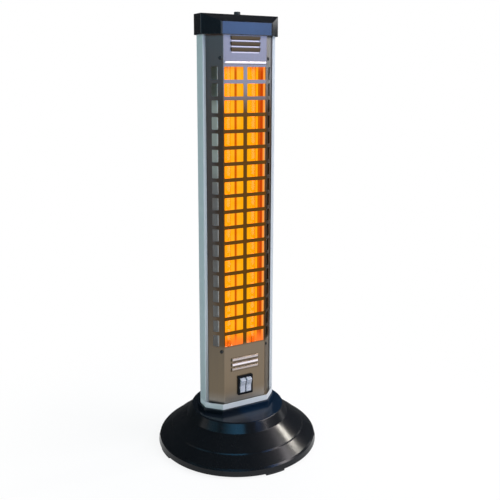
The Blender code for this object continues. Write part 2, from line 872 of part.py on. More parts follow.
def shell_vents():
    """Two groups of round-ended slots across the back, behind both ends of the reflector."""
    bm = bmesh.new()
    outline = rounded_outline(rectangle(2 * VENT_HALF_LENGTH, VENT_HEIGHT), VENT_HEIGHT * VENT_ROUND_SHARE, 2)
    for index in range(VENT_COUNT):
        for level in (
            lower_plate_top + VENT_INSET + index * VENT_PITCH,
            upper_plate_bottom - VENT_INSET - index * VENT_PITCH,
        ):
            grow_prism(bm, outline, -OVERRUN, OVERRUN, facing((0, shell_back_y, level), (0, 1, 0)))
    return bm


# Front cover


def front_cover():
    return_y = facet_back_y + COVER_RETURN
    corners = [
        (-side_x, return_y),
        (-side_x, facet_back_y),
        (-COVER_FLAT_HALF, front_y),
        (COVER_FLAT_HALF, front_y),
        (side_x, facet_back_y),
        (side_x, return_y),
    ]
    path = rounded_path(corners, (COVER_BEND,) * 4)
    cover = sheet("front_cover", path, COVER_SHEET, cover_bottom, cover_top, "stainless")
    add(cover, "louvre_hoods", louvres(0))
    cut(cover, "louvre_hollows", louvres(COVER_SHEET))
    add(cover, "bead_body", bead())
    cut(cover, "front_windows", front_windows())
    cut(cover, "side_windows", side_windows())
    opening = rectangle(housing_width() + 2 * SLIDE_GAP, housing_height() + 2 * SLIDE_GAP)
    opening_frame = facing((0, front_y, switch_z), (0, -1, 0))
    cut(cover, "switch_opening", prism(opening, -OVERRUN, OVERRUN, opening_frame))
    drill(cover, "cover_screw_holes", cover_screw_frames(), SCREW_RADIUS + SCREW_CLEARANCE)
    reach = SHELL_MARGIN + COVER_SHEET + OVERRUN
    drill(cover, "cover_rivet_holes", rivet_frames(), RIVET_RADIUS + SCREW_CLEARANCE, reach)


def row_levels():
    return [rows_bottom + WINDOW_HEIGHT / 2 + ROW_PITCH * row for row in range(ROW_COUNT)]


def front_windows():
    width = grille_half - CENTRE_BAR / 2
    outline = rectangle(width, WINDOW_HEIGHT)
    bm = bmesh.new()
    for level in row_levels():
        for side in (-1, 1):
            middle = side * (grille_half + CENTRE_BAR / 2) / 2
            frame = facing((middle, front_y, level), (0, -1, 0))
            grow_prism(bm, outline, -COVER_SHEET - WINDOW_CUT_DEPTH, OVERRUN, frame)
    return bm


def side_windows():
    outline = rectangle(SIDE_WINDOW_WIDTH, WINDOW_HEIGHT)
    bm = bmesh.new()
    for level in row_levels():
        for side in (-1, 1):
            frame = facet_frame(side, SIDE_WINDOW_FROM_FOLD + SIDE_WINDOW_WIDTH / 2, level)
            grow_prism(bm, outline, -COVER_SHEET - WINDOW_CUT_DEPTH, OVERRUN, frame)
    return bm


def louvres(inset):
    """Pressed hoods in the front flat, less an inset: the lower group opens down, the upper one up."""
    bm = bmesh.new()
    for index in range(LOUVRE_COUNT):
        lower = cover_bottom + LOWER_LOUVRE_RISE + index * LOUVRE_PITCH
        grow_hood(bm, lower, 1, inset)
        upper = rows_top + UPPER_LOUVRE_RISE + index * LOUVRE_PITCH
        grow_hood(bm, upper, -1, inset)
    return bm


def grow_hood(bm, edge_level, rise, inset):
    """One hood: a flattened round-ended bar cut to one side of its free edge, and to the sheet."""
    hood = bmesh.new()
    frame = facing((0, front_y, edge_level), (0, -1, 0))
    depth = LOUVRE_PROUD - inset
    grow_capsule(hood, LOUVRE_HALF - inset, LOUVRE_HEIGHT - inset, depth, frame)
    reach = SEAT_GAP if inset else 0
    keep_side(hood, (0, 0, edge_level - rise * reach), (0, 0, -rise))
    if not inset:
        keep_side(hood, (0, front_y + COVER_SHEET / 2, 0), (0, 1, 0))
    merge(bm, hood)


def merge(bm, other):
    scratch = bpy.data.meshes.new("merge")
    other.to_mesh(scratch)
    other.free()
    bm.from_mesh(scratch)
    bpy.data.meshes.remove(scratch)


def bead():
    """The pressed bead across the top of the windows."""
    bm = bmesh.new()
    frame = facing((0, front_y, rows_top + BEAD_RISE), (0, -1, 0))
    grow_capsule(bm, bead_half, BEAD_HEIGHT / 2, BEAD_PROUD, frame, sides=12, cap_steps=2)
    keep_side(bm, (0, front_y + COVER_SHEET / 2, 0), (0, 1, 0))
    return bm


# Reflector and end plates


def reflector():
    floor_y = front_y + REFLECTOR_DEPTH
    wing_y = front_y + REFLECTOR_WING_FRONT
    left = [
        (-reflector_half, wing_y),
        (-reflector_half, floor_y - REFLECTOR_CORNER),
        (-reflector_half + REFLECTOR_CORNER, floor_y),
        (-REFLECTOR_RIDGE_HALF, floor_y),
    ]
    right = [(-x, y) for x, y in reversed(left)]
    path = left + [(0, floor_y - REFLECTOR_RIDGE)] + right
    low = lower_plate_top + SEAT_GAP
    high = upper_plate_bottom - SEAT_GAP
    sheet("reflector", path, REFLECTOR_SHEET, low, high, "reflector_metal")


def end_plate(name, face_level, inward, screw_level):
    """A plate across the column; inward is 1 where the tubes stand above it and -1 where below."""
    margin = COVER_SHEET + SLIDE_GAP
    back_y = shell_inner_y - SEAT_GAP
    outer_level = face_level - inward * PLATE_SHEET
    plan = cover_plan(-margin - PLATE_EDGE_STEP, back_y - PLATE_EDGE_STEP)
    low, high = sorted((face_level, outer_level))
    plate = place(name, to_mesh(name, prism(plan, low, high)), "zinc_steel")
    low, high = sorted((face_level, outer_level - inward * PLATE_FLANGE_HEIGHT))
    flange_middle = (0, back_y - PLATE_SHEET / 2)
    add(plate, name + "_flange", box(2 * PLATE_FLANGE_HALF, PLATE_SHEET, low, high, flange_middle))
    tabs = bmesh.new()
    low, high = sorted((outer_level, screw_level + inward * PLATE_TAB_MARGIN))
    for side in (-1, 1):
        frame = facet_frame(side, PLATE_TAB_START + PLATE_TAB_WIDTH / 2, (low + high) / 2)
        outline = rectangle(PLATE_TAB_WIDTH, high - low)
        grow_prism(tabs, outline, -margin - PLATE_SHEET, -margin, frame)
    add(plate, name + "_tabs", tabs)
    holes = bmesh.new()
    neck_hole = END_CAP_NECK_RADIUS + SLIDE_GAP
    for x, y, radius in (
        (-TUBE_X, tube_y, neck_hole),
        (TUBE_X, tube_y, neck_hole),
        (wire_channel_x, front_y + WIRE_HOLE_DEPTH, WIRE_HOLE_RADIUS),
    ):
        frame = Matrix.Translation((x, y, face_level))
        grow_turned(holes, rod_profile(radius, -OVERRUN, OVERRUN), TUBE_SIDES, frame)
    cut(plate, name + "_holes", holes)
    clearance = SCREW_RADIUS + SCREW_CLEARANCE
    facet_holes = {
        side: facet_frame(side, FACET_SCREW_FROM_FOLD, screw_level) for side in SIDES.values()
    }
    drill(plate, name + "_facet_holes", facet_holes, clearance)
    flange_level = outer_level - inward * PLATE_FLANGE_HEIGHT / 2
    back_holes = back_frames(spots(PLATE_SCREW_HALF, {"flange": flange_level}))
    drill(plate, name + "_back_holes", back_holes, clearance)


def end_plates():
    end_plate("tube_plate_bottom", lower_plate_top, 1, rows_bottom - SCREW_BELOW_ROWS)
    end_plate("tube_plate_top", upper_plate_bottom, -1, rows_top + SCREW_ABOVE_ROWS)


# Quartz tubes, elements, end caps and terminals


def neck_reach():
    """From an end plate's seat to the outer end of an end cap's neck."""
    return SEAT_GAP + PLATE_SHEET + END_CAP_NECK


def tube_seats():
    """Heights at which the lower and upper end caps stand on their plates."""
    return lower_plate_top + SEAT_GAP, upper_plate_bottom - SEAT_GAP


def quartz_tubes():
    low_seat, high_seat = tube_seats()
    floor_rise = END_CAP_HEIGHT - END_CAP_SOCKET + SEAT_GAP
    length = high_seat - low_seat - 2 * floor_rise
    inner = TUBE_RADIUS - TUBE_WALL
    profile = [(inner, 0), (TUBE_RADIUS, 0), (TUBE_RADIUS, length), (inner, length)]
    mesh = to_mesh("quartz_tube", turned(profile, TUBE_SIDES, closed=True))
    for name, side in SIDES.items():
        location = (side * TUBE_X, tube_y, low_seat + floor_rise)
        place("quartz_tube_" + name, mesh, "quartz", location)


def end_fittings():
    """Ceramic caps and terminal pins, built for a lower seat and turned over for an upper one."""
    bore = PIN_RADIUS + PIN_BORE_GAP
    socket = TUBE_RADIUS + SEAT_GAP
    floor = END_CAP_HEIGHT - END_CAP_SOCKET
    neck_end = -neck_reach()
    cap_profile = [
        (bore, neck_end),
        (END_CAP_NECK_RADIUS, neck_end),
        (END_CAP_NECK_RADIUS, 0),
        (END_CAP_RADIUS, 0),
        (END_CAP_RADIUS, END_CAP_HEIGHT),
        (socket, END_CAP_HEIGHT),
        (socket, floor),
        (bore, floor),
    ]
    nut_top = neck_end - SEAT_GAP
    pin_profile = [
        (0, neck_end - PIN_LENGTH_OUT),
        (PIN_RADIUS, neck_end - PIN_LENGTH_OUT),
        (PIN_RADIUS, nut_top - PIN_NUT_HEIGHT),
        (PIN_NUT_RADIUS, nut_top - PIN_NUT_HEIGHT),
        (PIN_NUT_RADIUS, nut_top),
        (PIN_RADIUS, nut_top),
        (PIN_RADIUS, floor - SEAT_GAP),
        (0, floor - SEAT_GAP),
    ]
    cap_mesh = to_mesh("end_cap", turned(cap_profile, TUBE_SIDES, closed=True))
    pin_mesh = to_mesh("terminal", turned(pin_profile, SCREW_SIDES))
    for name, side in SIDES.items():
        for end, seat, turn in zip(("bottom", "top"), tube_seats(), (0, math.pi)):
            location = (side * TUBE_X, tube_y, seat)
            place(f"end_cap_{name}_{end}", cap_mesh, "ceramic", location, (turn, 0, 0))
            place(f"terminal_{name}_{end}", pin_mesh, "brass", location, (turn, 0, 0))


def tube_path(name, points, radius, finish, location=(0, 0, 0)):
    """A round wire through a row of points, as a curve with filled ends."""
    curve = bpy.data.curves.new(name, "CURVE")
    curve.dimensions = "3D"
    curve.bevel_depth = radius
    curve.bevel_resolution = 1
    curve.use_fill_caps = True
    spline = curve.splines.new("POLY")
    spline.points.add(len(points) - 1)
    for target, point in zip(spline.points, points):
        target.co = (*point, 1)
    return place(name, curve, finish, location)


def coil_points():
    """Straight lead, helix, straight lead, about the tube's axis from the lower pin to the upper."""
    low_seat, high_seat = tube_seats()
    lead_start = END_CAP_HEIGHT - END_CAP_SOCKET + SEAT_GAP
    length = high_seat - low_seat - 2 * lead_start
    helix = length - 2 * COIL_LEAD
    count = COIL_TURNS * COIL_STEPS
    points = [(0, 0, 0), (0, 0, COIL_WIRE), (0, 0, COIL_LEAD - COIL_RADIUS)]
    for step in range(count + 1):
        angle = math.tau * step / COIL_STEPS
        rise = COIL_LEAD + helix * step / count
        points.append((COIL_RADIUS * math.cos(angle), COIL_RADIUS * math.sin(angle), rise))
    ends = (length - COIL_LEAD + COIL_RADIUS, length - COIL_WIRE, length)
    return points + [(0, 0, height) for height in ends]


def least_gap(points, steps, wire):
    """The least distance between a wound wire and its next turns, on its own points."""
    return min(
        (Vector(points[i]) - Vector(points[j])).length - wire
        for i in range(len(points))
        for j in range(i + steps // 2, min(i + 2 * steps, len(points)))
    )


def heating_coils():
    points = coil_points()
    gap = least_gap(points, COIL_STEPS, COIL_WIRE)
    print(f"heating coil: least gap to itself {gap * 1000:.2f} mm")
    start = tube_seats()[0] + END_CAP_HEIGHT - END_CAP_SOCKET + SEAT_GAP
    for name, side in SIDES.items():
        location = (side * TUBE_X, tube_y, start)
        tube_path("heating_coil_" + name, points, COIL_WIRE / 2, "element_wire", location)


# Cap, strap, stud and nut


def cap_body(inset, low):
    """The cap's outer body less an inset: an upright block whose front roof slopes."""
    back = shell_back_y + CAP_BACK_MARGIN - inset
    plan = rounded_outline(body_plan(CAP_MARGIN - inset, back), CAP_CORNER - inset)
    bm = prism(plan, low, cap_top - inset)
    rise = CAP_HEIGHT - CAP_FRONT_HEIGHT
    slope = Vector((0, -rise, CAP_ROOF_RUN)).normalized()
    edge = Vector((0, front_y - LIP_PROUD - CAP_MARGIN, cap_bottom + CAP_FRONT_HEIGHT))
    keep_side(bm, edge - slope * inset, slope)
    return bm


def top_cap():
    cap = place("top_cap", to_mesh("top_cap", cap_body(0, cap_bottom)), "cap_plastic")
    soften(cap, CAP_EDGE)
    cut(cap, "cap_hollow", cap_body(CAP_WALL, cap_bottom - OVERRUN))
    frame = Matrix.Translation((0, strap_y, 0))
    boss = rod_profile(CAP_BOSS_RADIUS, strap_top + SEAT_GAP, cap_top - CAP_WALL / 2)
    add(cap, "cap_boss", turned(boss, TUBE_SIDES, frame))
    hole = rod_profile(STUD_RADIUS + SCREW_CLEARANCE, strap_top - OVERRUN, cap_top + OVERRUN)
    cut(cap, "cap_stud_hole", turned(hole, TUBE_SIDES, frame))


def strap():
    """An inverted U across the top of the column, with the stud's hole in its middle."""
    half = side_x - COVER_SHEET - SEAT_GAP
    inner = half - STRAP_SHEET
    leg_end = strap_bottom - STRAP_LEG
    outline = [
        (-half, leg_end), (-inner, leg_end), (-inner, strap_bottom), (inner, strap_bottom),
        (inner, leg_end), (half, leg_end), (half, strap_top), (-half, strap_top),
    ]
    frame = facing((0, strap_y, 0), (0, -1, 0))
    body = prism(outline, -STRAP_WIDTH / 2, STRAP_WIDTH / 2, frame)
    piece = place("cap_strap", to_mesh("cap_strap", body), "zinc_steel")
    hole = Matrix.Translation((0, strap_y, strap_top))
    drill(piece, "strap_stud_hole", {"stud": hole}, STUD_RADIUS + SCREW_CLEARANCE)
    reach = shell_x - inner + OVERRUN
    drill(piece, "strap_rivet_holes", rivet_frames(), RIVET_RADIUS + SCREW_CLEARANCE, reach)


def stud_and_nut():
    head_top = strap_bottom - SEAT_GAP
    stud_end = cap_top + SEAT_GAP + NUT_HEIGHT - STUD_RECESS
    profile = [
        (0, head_top - STUD_HEAD_HEIGHT),
        (STUD_HEAD_RADIUS, head_top - STUD_HEAD_HEIGHT),
        (STUD_HEAD_RADIUS, head_top),
        (STUD_RADIUS, head_top),
        (STUD_RADIUS, stud_end),
        (0, stud_end),
    ]
    place("cap_stud", to_mesh("cap_stud", turned(profile, SCREW_SIDES)), "zinc_steel", (0, strap_y, 0))
    outline = []
    for step in range(2 * NUT_FLUTES):
        radius = NUT_RADIUS - (step % 2) * NUT_FLUTE_RADIUS
        angle = math.pi * step / NUT_FLUTES
        outline.append((radius * math.cos(angle), radius * math.sin(angle)))
    body = prism(outline, 0, NUT_HEIGHT)
    nut = place("cap_nut", to_mesh("cap_nut", body), "black_steel", (0, strap_y, cap_top + SEAT_GAP))
    bore = Matrix.Translation((0, strap_y, cap_top))
    hole = rod_profile(STUD_RADIUS + SCREW_CLEARANCE, -OVERRUN, NUT_HEIGHT + OVERRUN)
    cut(nut, "nut_bore", turned(hole, SCREW_SIDES, bore))


# Switch


def housing_width():
    return 2 * (POCKET_HALF_WIDTH + HOUSING_WALL)


def housing_height():
    return 2 * (POCKET_HALF_HEIGHT + HOUSING_WALL)


def switch_housing():
    frame = facing((0, front_y, switch_z), (0, -1, 0))
    bezel_front = SEAT_GAP + BEZEL_PROUD
    bezel = prism(rectangle(BEZEL_WIDTH, BEZEL_HEIGHT, BEZEL_EDGE), SEAT_GAP, bezel_front, frame)
    housing = place("switch_housing", to_mesh("switch_housing", bezel), "switch_plastic")
    soften(housing, BEZEL_EDGE)
    body = prism(rectangle(housing_width(), housing_height()), -HOUSING_DEPTH, bezel_front / 2, frame)
    add(housing, "housing_body", body)
    add(housing, "switch_terminals", switch_blades())
    pocket = rectangle(2 * POCKET_HALF_WIDTH, 2 * POCKET_HALF_HEIGHT)
    floor = bezel_front - HOUSING_POCKET_DEPTH
    cut(housing, "housing_pocket", prism(pocket, floor, bezel_front + OVERRUN, frame))
    reach = housing_width() / 2 + OVERRUN
    bore = rod_profile(PIVOT_RADIUS + PIVOT_BORE_GAP, -reach, reach)
    cut(housing, "housing_bores", turned(bore, ROCKER_BORE_SIDES, pivot_frame()))


def pivot_frame():
    """A frame at the middle of the rockers' axis with local Z along it."""
    return Matrix.Translation((0, pivot_y, switch_z)) @ Matrix.Rotation(2 * EIGHTH_TURN, 4, "Y")


def rocker_outline():
    """A rocker from the side, about its pivot: height, then depth behind the pivot."""
    end_depth = -(ROCKER_PIVOT_DEPTH + ROCKER_END_PROUD)
    depths = (end_depth, -ROCKER_PIVOT_DEPTH, 0, ROCKER_SKIRT)
    upper = [(math.sqrt(ROCKER_END_RADIUS ** 2 - depth ** 2), depth) for depth in depths]
    upper.append((ROCKER_KEEL_HALF, ROCKER_KEEL_DEPTH))
    middle = (0, -(ROCKER_PIVOT_DEPTH + ROCKER_MIDDLE_PROUD))
    return [middle] + upper + [(-height, depth) for height, depth in reversed(upper)]


def rockers():
    """Each rocker's origin is on the pivot; at rest its lower half is pressed in."""
    axes = Matrix(((0, 0, -1), (0, 1, 0), (1, 0, 0))).to_4x4()
    outline = rocker_outline()
    x = (ROCKER_MIDDLE_GAP + ROCKER_WIDTH) / 2
    for name, side in SIDES.items():
        body = prism(outline, -ROCKER_WIDTH / 2, ROCKER_WIDTH / 2, axes)
        title = "rocker_" + name
        location = (side * x, pivot_y, switch_z)
        rocker = place(title, to_mesh(title, body), "rocker_plastic", location, (ROCKER_TILT, 0, 0))
        soften(rocker, ROCKER_EDGE, segments=1)
        reach = BEZEL_WIDTH
        bore = rod_profile(PIVOT_RADIUS + PIVOT_BORE_GAP, -reach, reach)
        cut(rocker, title + "_bore", turned(bore, ROCKER_BORE_SIDES, pivot_frame()))


def pivot_pin():
    half = housing_width() / 2 - SEAT_GAP
    body = turned(rod_profile(PIVOT_RADIUS, -half, half), ROCKER_BORE_SIDES, pivot_frame())
    place("rocker_pin", to_mesh("rocker_pin", body), "zinc_steel")


def blade_places():
    """Rear ends of the spade terminals: upper left, upper right, lower left, lower right."""
    end_y = front_y + HOUSING_DEPTH + BLADE_LENGTH
    return [
        (side * BLADE_X, end_y, switch_z + rise)
        for rise in (BLADE_Z, -BLADE_Z)
        for side in SIDES.values()
    ]


def switch_blades():
    """Spade terminals moulded into the back of the housing."""
    bm = bmesh.new()
    for end in blade_places():
        outline = rectangle(BLADE_WIDTH, BLADE_THICKNESS)
        grow_prism(bm, outline, -BLADE_LENGTH - HOUSING_WALL, 0, facing(end, (0, 1, 0)))
    return bm


# Parts on the tray and the back panel


def block_middle():
    return shell_inner_x - BLOCK_FROM_SIDE, shell_inner_y - SEAT_GAP - BLOCK_DEPTH / 2


def block_bottom():
    return tray_floor + BLOCK_RISE


def terminal_block():
    low = block_bottom()
    body = box(BLOCK_WIDTH, BLOCK_DEPTH, low, low + BLOCK_HEIGHT, block_middle())
    block = place("terminal_block", to_mesh("terminal_block", body), "ceramic")
    soften(block, BLOCK_EDGE, segments=1)
    x, y = block_middle()
    face_y = y - BLOCK_DEPTH / 2
    pitch = BLOCK_HEIGHT / BLOCK_SCREW_COUNT
    frames = {
        index: facing((x, face_y, low + pitch * index + pitch / 2), (0, -1, 0))
        for index in range(BLOCK_SCREW_COUNT)
    }
    drill(block, "block_wells", frames, BLOCK_WELL_RADIUS, BLOCK_WELL)
    screws = bmesh.new()
    for frame in frames.values():
        profile = rod_profile(BLOCK_SCREW_RADIUS, -BLOCK_WELL - OVERRUN, -BLOCK_SCREW_RECESS)
        grow_turned(screws, profile, SCREW_SIDES, frame)
    add(block, "block_screws", screws)


def tilt_middle():
    return -TILT_X, front_y + TILT_FROM_FRONT + TILT_DEPTH / 2


def tilt_top():
    return tray_floor + SEAT_GAP + TILT_HEIGHT


def tilt_switch():
    body = box(TILT_WIDTH, TILT_DEPTH, tray_floor + SEAT_GAP, tilt_top(), tilt_middle())
    piece = place("tilt_switch", to_mesh("tilt_switch", body), "switch_plastic")
    soften(piece, TILT_EDGE)


def gland_frame():
    return facing((0, shell_back_y, tray_floor + GLAND_RISE), (0, 1, 0))


def cable_gland():
    snout_end = GLAND_FLANGE + GLAND_SNOUT
    profile = [
        (GLAND_BORE_RADIUS, -GLAND_INSIDE),
        (GLAND_THREAD_RADIUS, -GLAND_INSIDE),
        (GLAND_THREAD_RADIUS, SEAT_GAP),
        (GLAND_FLANGE_RADIUS, SEAT_GAP),
        (GLAND_FLANGE_RADIUS, GLAND_FLANGE),
        (GLAND_SNOUT_RADIUS, GLAND_FLANGE),
        (GLAND_SNOUT_TIP_RADIUS, snout_end),
        (GLAND_BORE_RADIUS, snout_end),
    ]
    body = turned(profile, TUBE_SIDES, gland_frame(), closed=True)
    place("cable_gland", to_mesh("cable_gland", body), "switch_plastic")
    high = -SHELL_SHEET - SEAT_GAP
    low = high - GLAND_NUT
    inner = GLAND_THREAD_RADIUS + SCREW_CLEARANCE
    ring = [(inner, low), (GLAND_NUT_RADIUS, low), (GLAND_NUT_RADIUS, high), (inner, high)]
    nut = turned(ring, TUBE_SIDES, gland_frame(), closed=True)
    place("gland_nut", to_mesh("gland_nut", nut), "switch_plastic")


def earth_place():
    return EARTH_X, front_y + EARTH_DEPTH, tray_floor + SEAT_GAP


def earth_stud():
    nut_top = EARTH_NUT_RISE + EARTH_NUT_HEIGHT
    profile = [
        (0, 0), (EARTH_RADIUS, 0), (EARTH_RADIUS, EARTH_NUT_RISE),
        (EARTH_NUT_RADIUS, EARTH_NUT_RISE), (EARTH_NUT_RADIUS, nut_top), (EARTH_RADIUS, nut_top),
        (EARTH_RADIUS, EARTH_HEIGHT), (0, EARTH_HEIGHT),
    ]
    place("earth_stud", to_mesh("earth_stud", turned(profile, SCREW_SIDES)), "brass", earth_place())


# Wires inside the column


def smooth_route(points):
    """A smooth curve through chosen points, a few steps to each span; its two ends stay straight."""
    route = [points[0], points[1]]
    for index in range(len(points) - 3):
        before, start, end, after = (Vector(point) for point in points[index:index + 4])
        for step in range(1, WIRE_STEPS + 1):
            share = step / WIRE_STEPS
            route.append(
                (
                    2 * start
                    + (end - before) * share
                    + (2 * before - 5 * start + 4 * end - after) * share ** 2
                    + (3 * start - before - 3 * end + after) * share ** 3
                )
                / 2
            )
    return route + [points[-1]]


def wire(name, start, start_way, vias, end, end_way):
    """A wire that leaves its start along one direction and reaches its end against another."""
    start = Vector(start) + Vector(start_way) * SEAT_GAP
    end = Vector(end) + Vector(end_way) * SEAT_GAP
    points = [
        start,
        start + Vector(start_way) * WIRE_LEAD,
        *vias,
        end + Vector(end_way) * WIRE_LEAD,
        end,
    ]
    tube_path(name, smooth_route(points), WIRE_RADIUS, "wire_cover")


def wires():
    up, down, back, front = (0, 0, 1), (0, 0, -1), (0, 1, 0), (0, -1, 0)
    left, right = (-1, 0, 0), (1, 0, 0)
    low_seat, high_seat = tube_seats()
    low_pin = low_seat - neck_reach() - PIN_LENGTH_OUT
    high_pin = high_seat + neck_reach() + PIN_LENGTH_OUT
    blades = blade_places()
    for (name, side), blade in zip(SIDES.items(), blades):
        bend = (side * TUBE_X * ELEMENT_BEND_SHARE, blade[1], (low_pin + blade[2]) / 2)
        pin = (side * TUBE_X, tube_y, low_pin)
        wire("wire_element_" + name, pin, down, [bend], blade, back)
    left_pin, right_pin = ((side * TUBE_X, tube_y, high_pin) for side in (-1, 1))
    crown = (0, tube_y, high_pin + WIRE_LEAD + WIRE_PLAY)
    wire("wire_jumper", left_pin, up, [crown], right_pin, up)
    block_x, block_y = block_middle()
    channel = (wire_channel_x, front_y + WIRE_HOLE_DEPTH)
    nut_level = high_seat + neck_reach() + SEAT_GAP + PIN_NUT_HEIGHT / 2
    nut_side = (TUBE_X + PIN_NUT_RADIUS, tube_y, nut_level)
    block_top = (block_x, block_y, block_bottom() + BLOCK_HEIGHT)
    vias = [
        (*channel, nut_level + WIRE_PLAY / 2),
        (*channel, upper_plate_bottom - WIRE_PLAY),
        (*channel, lower_plate_top + WIRE_PLAY),
        (*channel, lower_plate_top - PLATE_SHEET - WIRE_PLAY),
    ]
    wire("wire_return", nut_side, right, vias, block_top, up)
    tilt_x, tilt_y = tilt_middle()
    lower_left_blade = blades[2]
    over = ((tilt_x + lower_left_blade[0]) / 2, lower_left_blade[1] + WIRE_PLAY, lower_left_blade[2])
    wire("wire_tilt_to_switch", (tilt_x, tilt_y, tilt_top()), up, [over], lower_left_blade, back)
    block_side = (block_x - BLOCK_WIDTH / 2, block_y, block_bottom() + WIRE_PLAY)
    tilt_side = (tilt_x + TILT_WIDTH / 2, tilt_y, tray_floor + TILT_HEIGHT / 2)
    middle = (0, tilt_y, (block_side[2] + tilt_side[2]) / 2)
    wire("wire_block_to_tilt", block_side, left, [middle], tilt_side, right)
    earth_x, earth_y, earth_z = earth_place()
    nut_middle = earth_z + EARTH_NUT_RISE + EARTH_NUT_HEIGHT / 2
    earth_side = (earth_x + EARTH_NUT_RADIUS, earth_y, nut_middle)
    block_front = (block_x, block_y - BLOCK_DEPTH / 2, block_bottom() + BLOCK_HEIGHT / 3)
    dip = ((block_x + earth_side[0]) / 2, earth_y - WIRE_PLAY / 2, (block_front[2] + nut_middle) / 2)
    wire("wire_earth", block_front, front, [dip], earth_side, right)


# Fasteners


def fasteners():
    cover_length = COVER_SHEET + SLIDE_GAP + PLATE_SHEET + SCREW_GRIP
    profile = screw_profile(SCREW_HEAD_RADIUS, SCREW_HEAD_HEIGHT, SCREW_RADIUS, cover_length)
    fastener_set("cover_screw", cover_screw_frames(), profile, "black_steel")
    shell_length = SHELL_SHEET + SEAT_GAP + PLATE_SHEET + SCREW_GRIP
    profile = screw_profile(SCREW_HEAD_RADIUS, SCREW_HEAD_HEIGHT, SCREW_RADIUS, shell_length)
    fastener_set("plate_screw", back_frames(plate_screw_spots()), profile, "zinc_steel")
    fastener_set("tray_screw", back_frames(tray_screw_spots()), profile, "zinc_steel")
    turn_over = Matrix.Rotation(math.pi, 4, "X")
    frames = {
        name: Matrix.Translation((x, y, plinth_top - BOSS_LENGTH)) @ turn_over
        for name, (x, y) in base_screw_spots().items()
    }
    length = BOSS_LENGTH + SEAT_GAP + TRAY_SHEET + SCREW_GRIP
    profile = screw_profile(BASE_SCREW_HEAD_RADIUS, BASE_SCREW_HEAD_HEIGHT, BASE_SCREW_RADIUS, length)
    fastener_set("base_screw", frames, profile, "zinc_steel")
    inner_end = -(shell_x - side_x + COVER_SHEET + SEAT_GAP + STRAP_SHEET + SEAT_GAP)
    profile = [
        (0, inner_end - RIVET_HEAD_HEIGHT),
        (RIVET_HEAD_RADIUS, inner_end - RIVET_HEAD_HEIGHT),
        (RIVET_HEAD_RADIUS, inner_end),
        (RIVET_RADIUS, inner_end),
        (RIVET_RADIUS, SEAT_GAP),
        (RIVET_HEAD_RADIUS, SEAT_GAP),
        (RIVET_HEAD_RADIUS, SEAT_GAP + RIVET_HEAD_HEIGHT),
        (0, SEAT_GAP + RIVET_HEAD_HEIGHT),
    ]
    fastener_set("top_rivet", rivet_frames(), profile, "zinc_steel")


clear_scene()
base_shell()
feet()
bottom_tray()
back_shell()
front_cover()
reflector()
end_plates()
quartz_tubes()
end_fittings()
heating_coils()
top_cap()
strap()
stud_and_nut()
switch_housing()
rockers()
pivot_pin()
terminal_block()
tilt_switch()
cable_gland()
earth_stud()
wires()
fasteners()
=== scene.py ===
"""Looks of a vertical quartz heater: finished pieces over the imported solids, and its studio.

Lengths are in metres. +Z is up, the front faces -Y, and the base is centred on the origin.
"""

import math

import bmesh
import bpy
from mathutils import Matrix, Vector


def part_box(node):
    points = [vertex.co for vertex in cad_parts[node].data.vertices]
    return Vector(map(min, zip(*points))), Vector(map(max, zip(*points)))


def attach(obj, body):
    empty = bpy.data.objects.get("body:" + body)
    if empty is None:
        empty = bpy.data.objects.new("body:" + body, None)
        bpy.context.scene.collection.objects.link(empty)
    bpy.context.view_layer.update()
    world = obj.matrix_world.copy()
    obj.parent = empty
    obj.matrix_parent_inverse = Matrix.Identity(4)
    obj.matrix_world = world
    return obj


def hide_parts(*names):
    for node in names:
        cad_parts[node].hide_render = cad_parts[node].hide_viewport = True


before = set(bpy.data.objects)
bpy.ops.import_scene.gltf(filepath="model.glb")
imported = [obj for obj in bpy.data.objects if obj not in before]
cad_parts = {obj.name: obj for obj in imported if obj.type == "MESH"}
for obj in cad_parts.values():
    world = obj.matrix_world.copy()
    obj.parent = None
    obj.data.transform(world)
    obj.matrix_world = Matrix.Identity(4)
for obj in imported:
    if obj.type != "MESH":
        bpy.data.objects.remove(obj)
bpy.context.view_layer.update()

# Base. One black injection moulding: a ring rim, two cones with a small step between them, a
# sloping band up to a flat deck, and a low plinth in the column's chamfered plan. It is open
# below, with ribs.

QUARTER = math.pi / 2
EIGHTH = math.pi / 4
UPSIDE_DOWN = Matrix.Rotation(math.pi, 4, "X")
Z_TO_X = Matrix.Rotation(QUARTER, 4, "Y")
GAP = 0.0003
OVERRUN = 0.004
FRONT_Y = -0.0278
LIP_PROUD = 0.0027
LIP_FLAT_HALF = 0.0415
SHELL_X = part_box("back_shell")[1].x
SHELL_BACK_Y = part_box("back_shell")[1].y
PLINTH_MARGIN = 0.0034
PLINTH_CORNER = 0.004
BASE_WALL = 0.0028
PLINTH_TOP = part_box("base_shell")[1].z
RIM_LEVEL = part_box("base_shell")[0].z
DECK_LEVEL = PLINTH_TOP - 0.0067
BASE_CORNERS = [
    (0, DECK_LEVEL),
    (0.0764, DECK_LEVEL),
    (0.085, 0.0475),
    (0.1116, 0.028),
    (0.1313, 0.013),
    (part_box("base_shell")[1].x, RIM_LEVEL),
]
CONE_STEP = 0.0012
RIM_SHOULDER = 0.0022
OUTLINE_ROUNDS = (0, 0.003, 0.0009, 0.0006, 0.0006, 0.001, 0.001, 0)
PLINTH_EDGE = 0.0007
BASE_SIDES = 160
BORE_SIDES = 24
HOLE_SIDES = 20
RIB_COUNT = 8
RIB_HALF = 0.0012
RIB_INNER_RADIUS = 0.070
RIB_INNER_LEVEL = DECK_LEVEL - 0.026
RIB_FOOT_LEVEL = RIM_LEVEL + 0.005
BOSS_RADIUS = 0.005
BOSS_LENGTH = 0.016
BASE_SCREW_RADIUS = 0.0019
FEET = ("foot_front", "foot_right", "foot_back", "foot_left")
SEAT_THICKNESS = 0.0026
SEAT_TURN = math.radians(17)
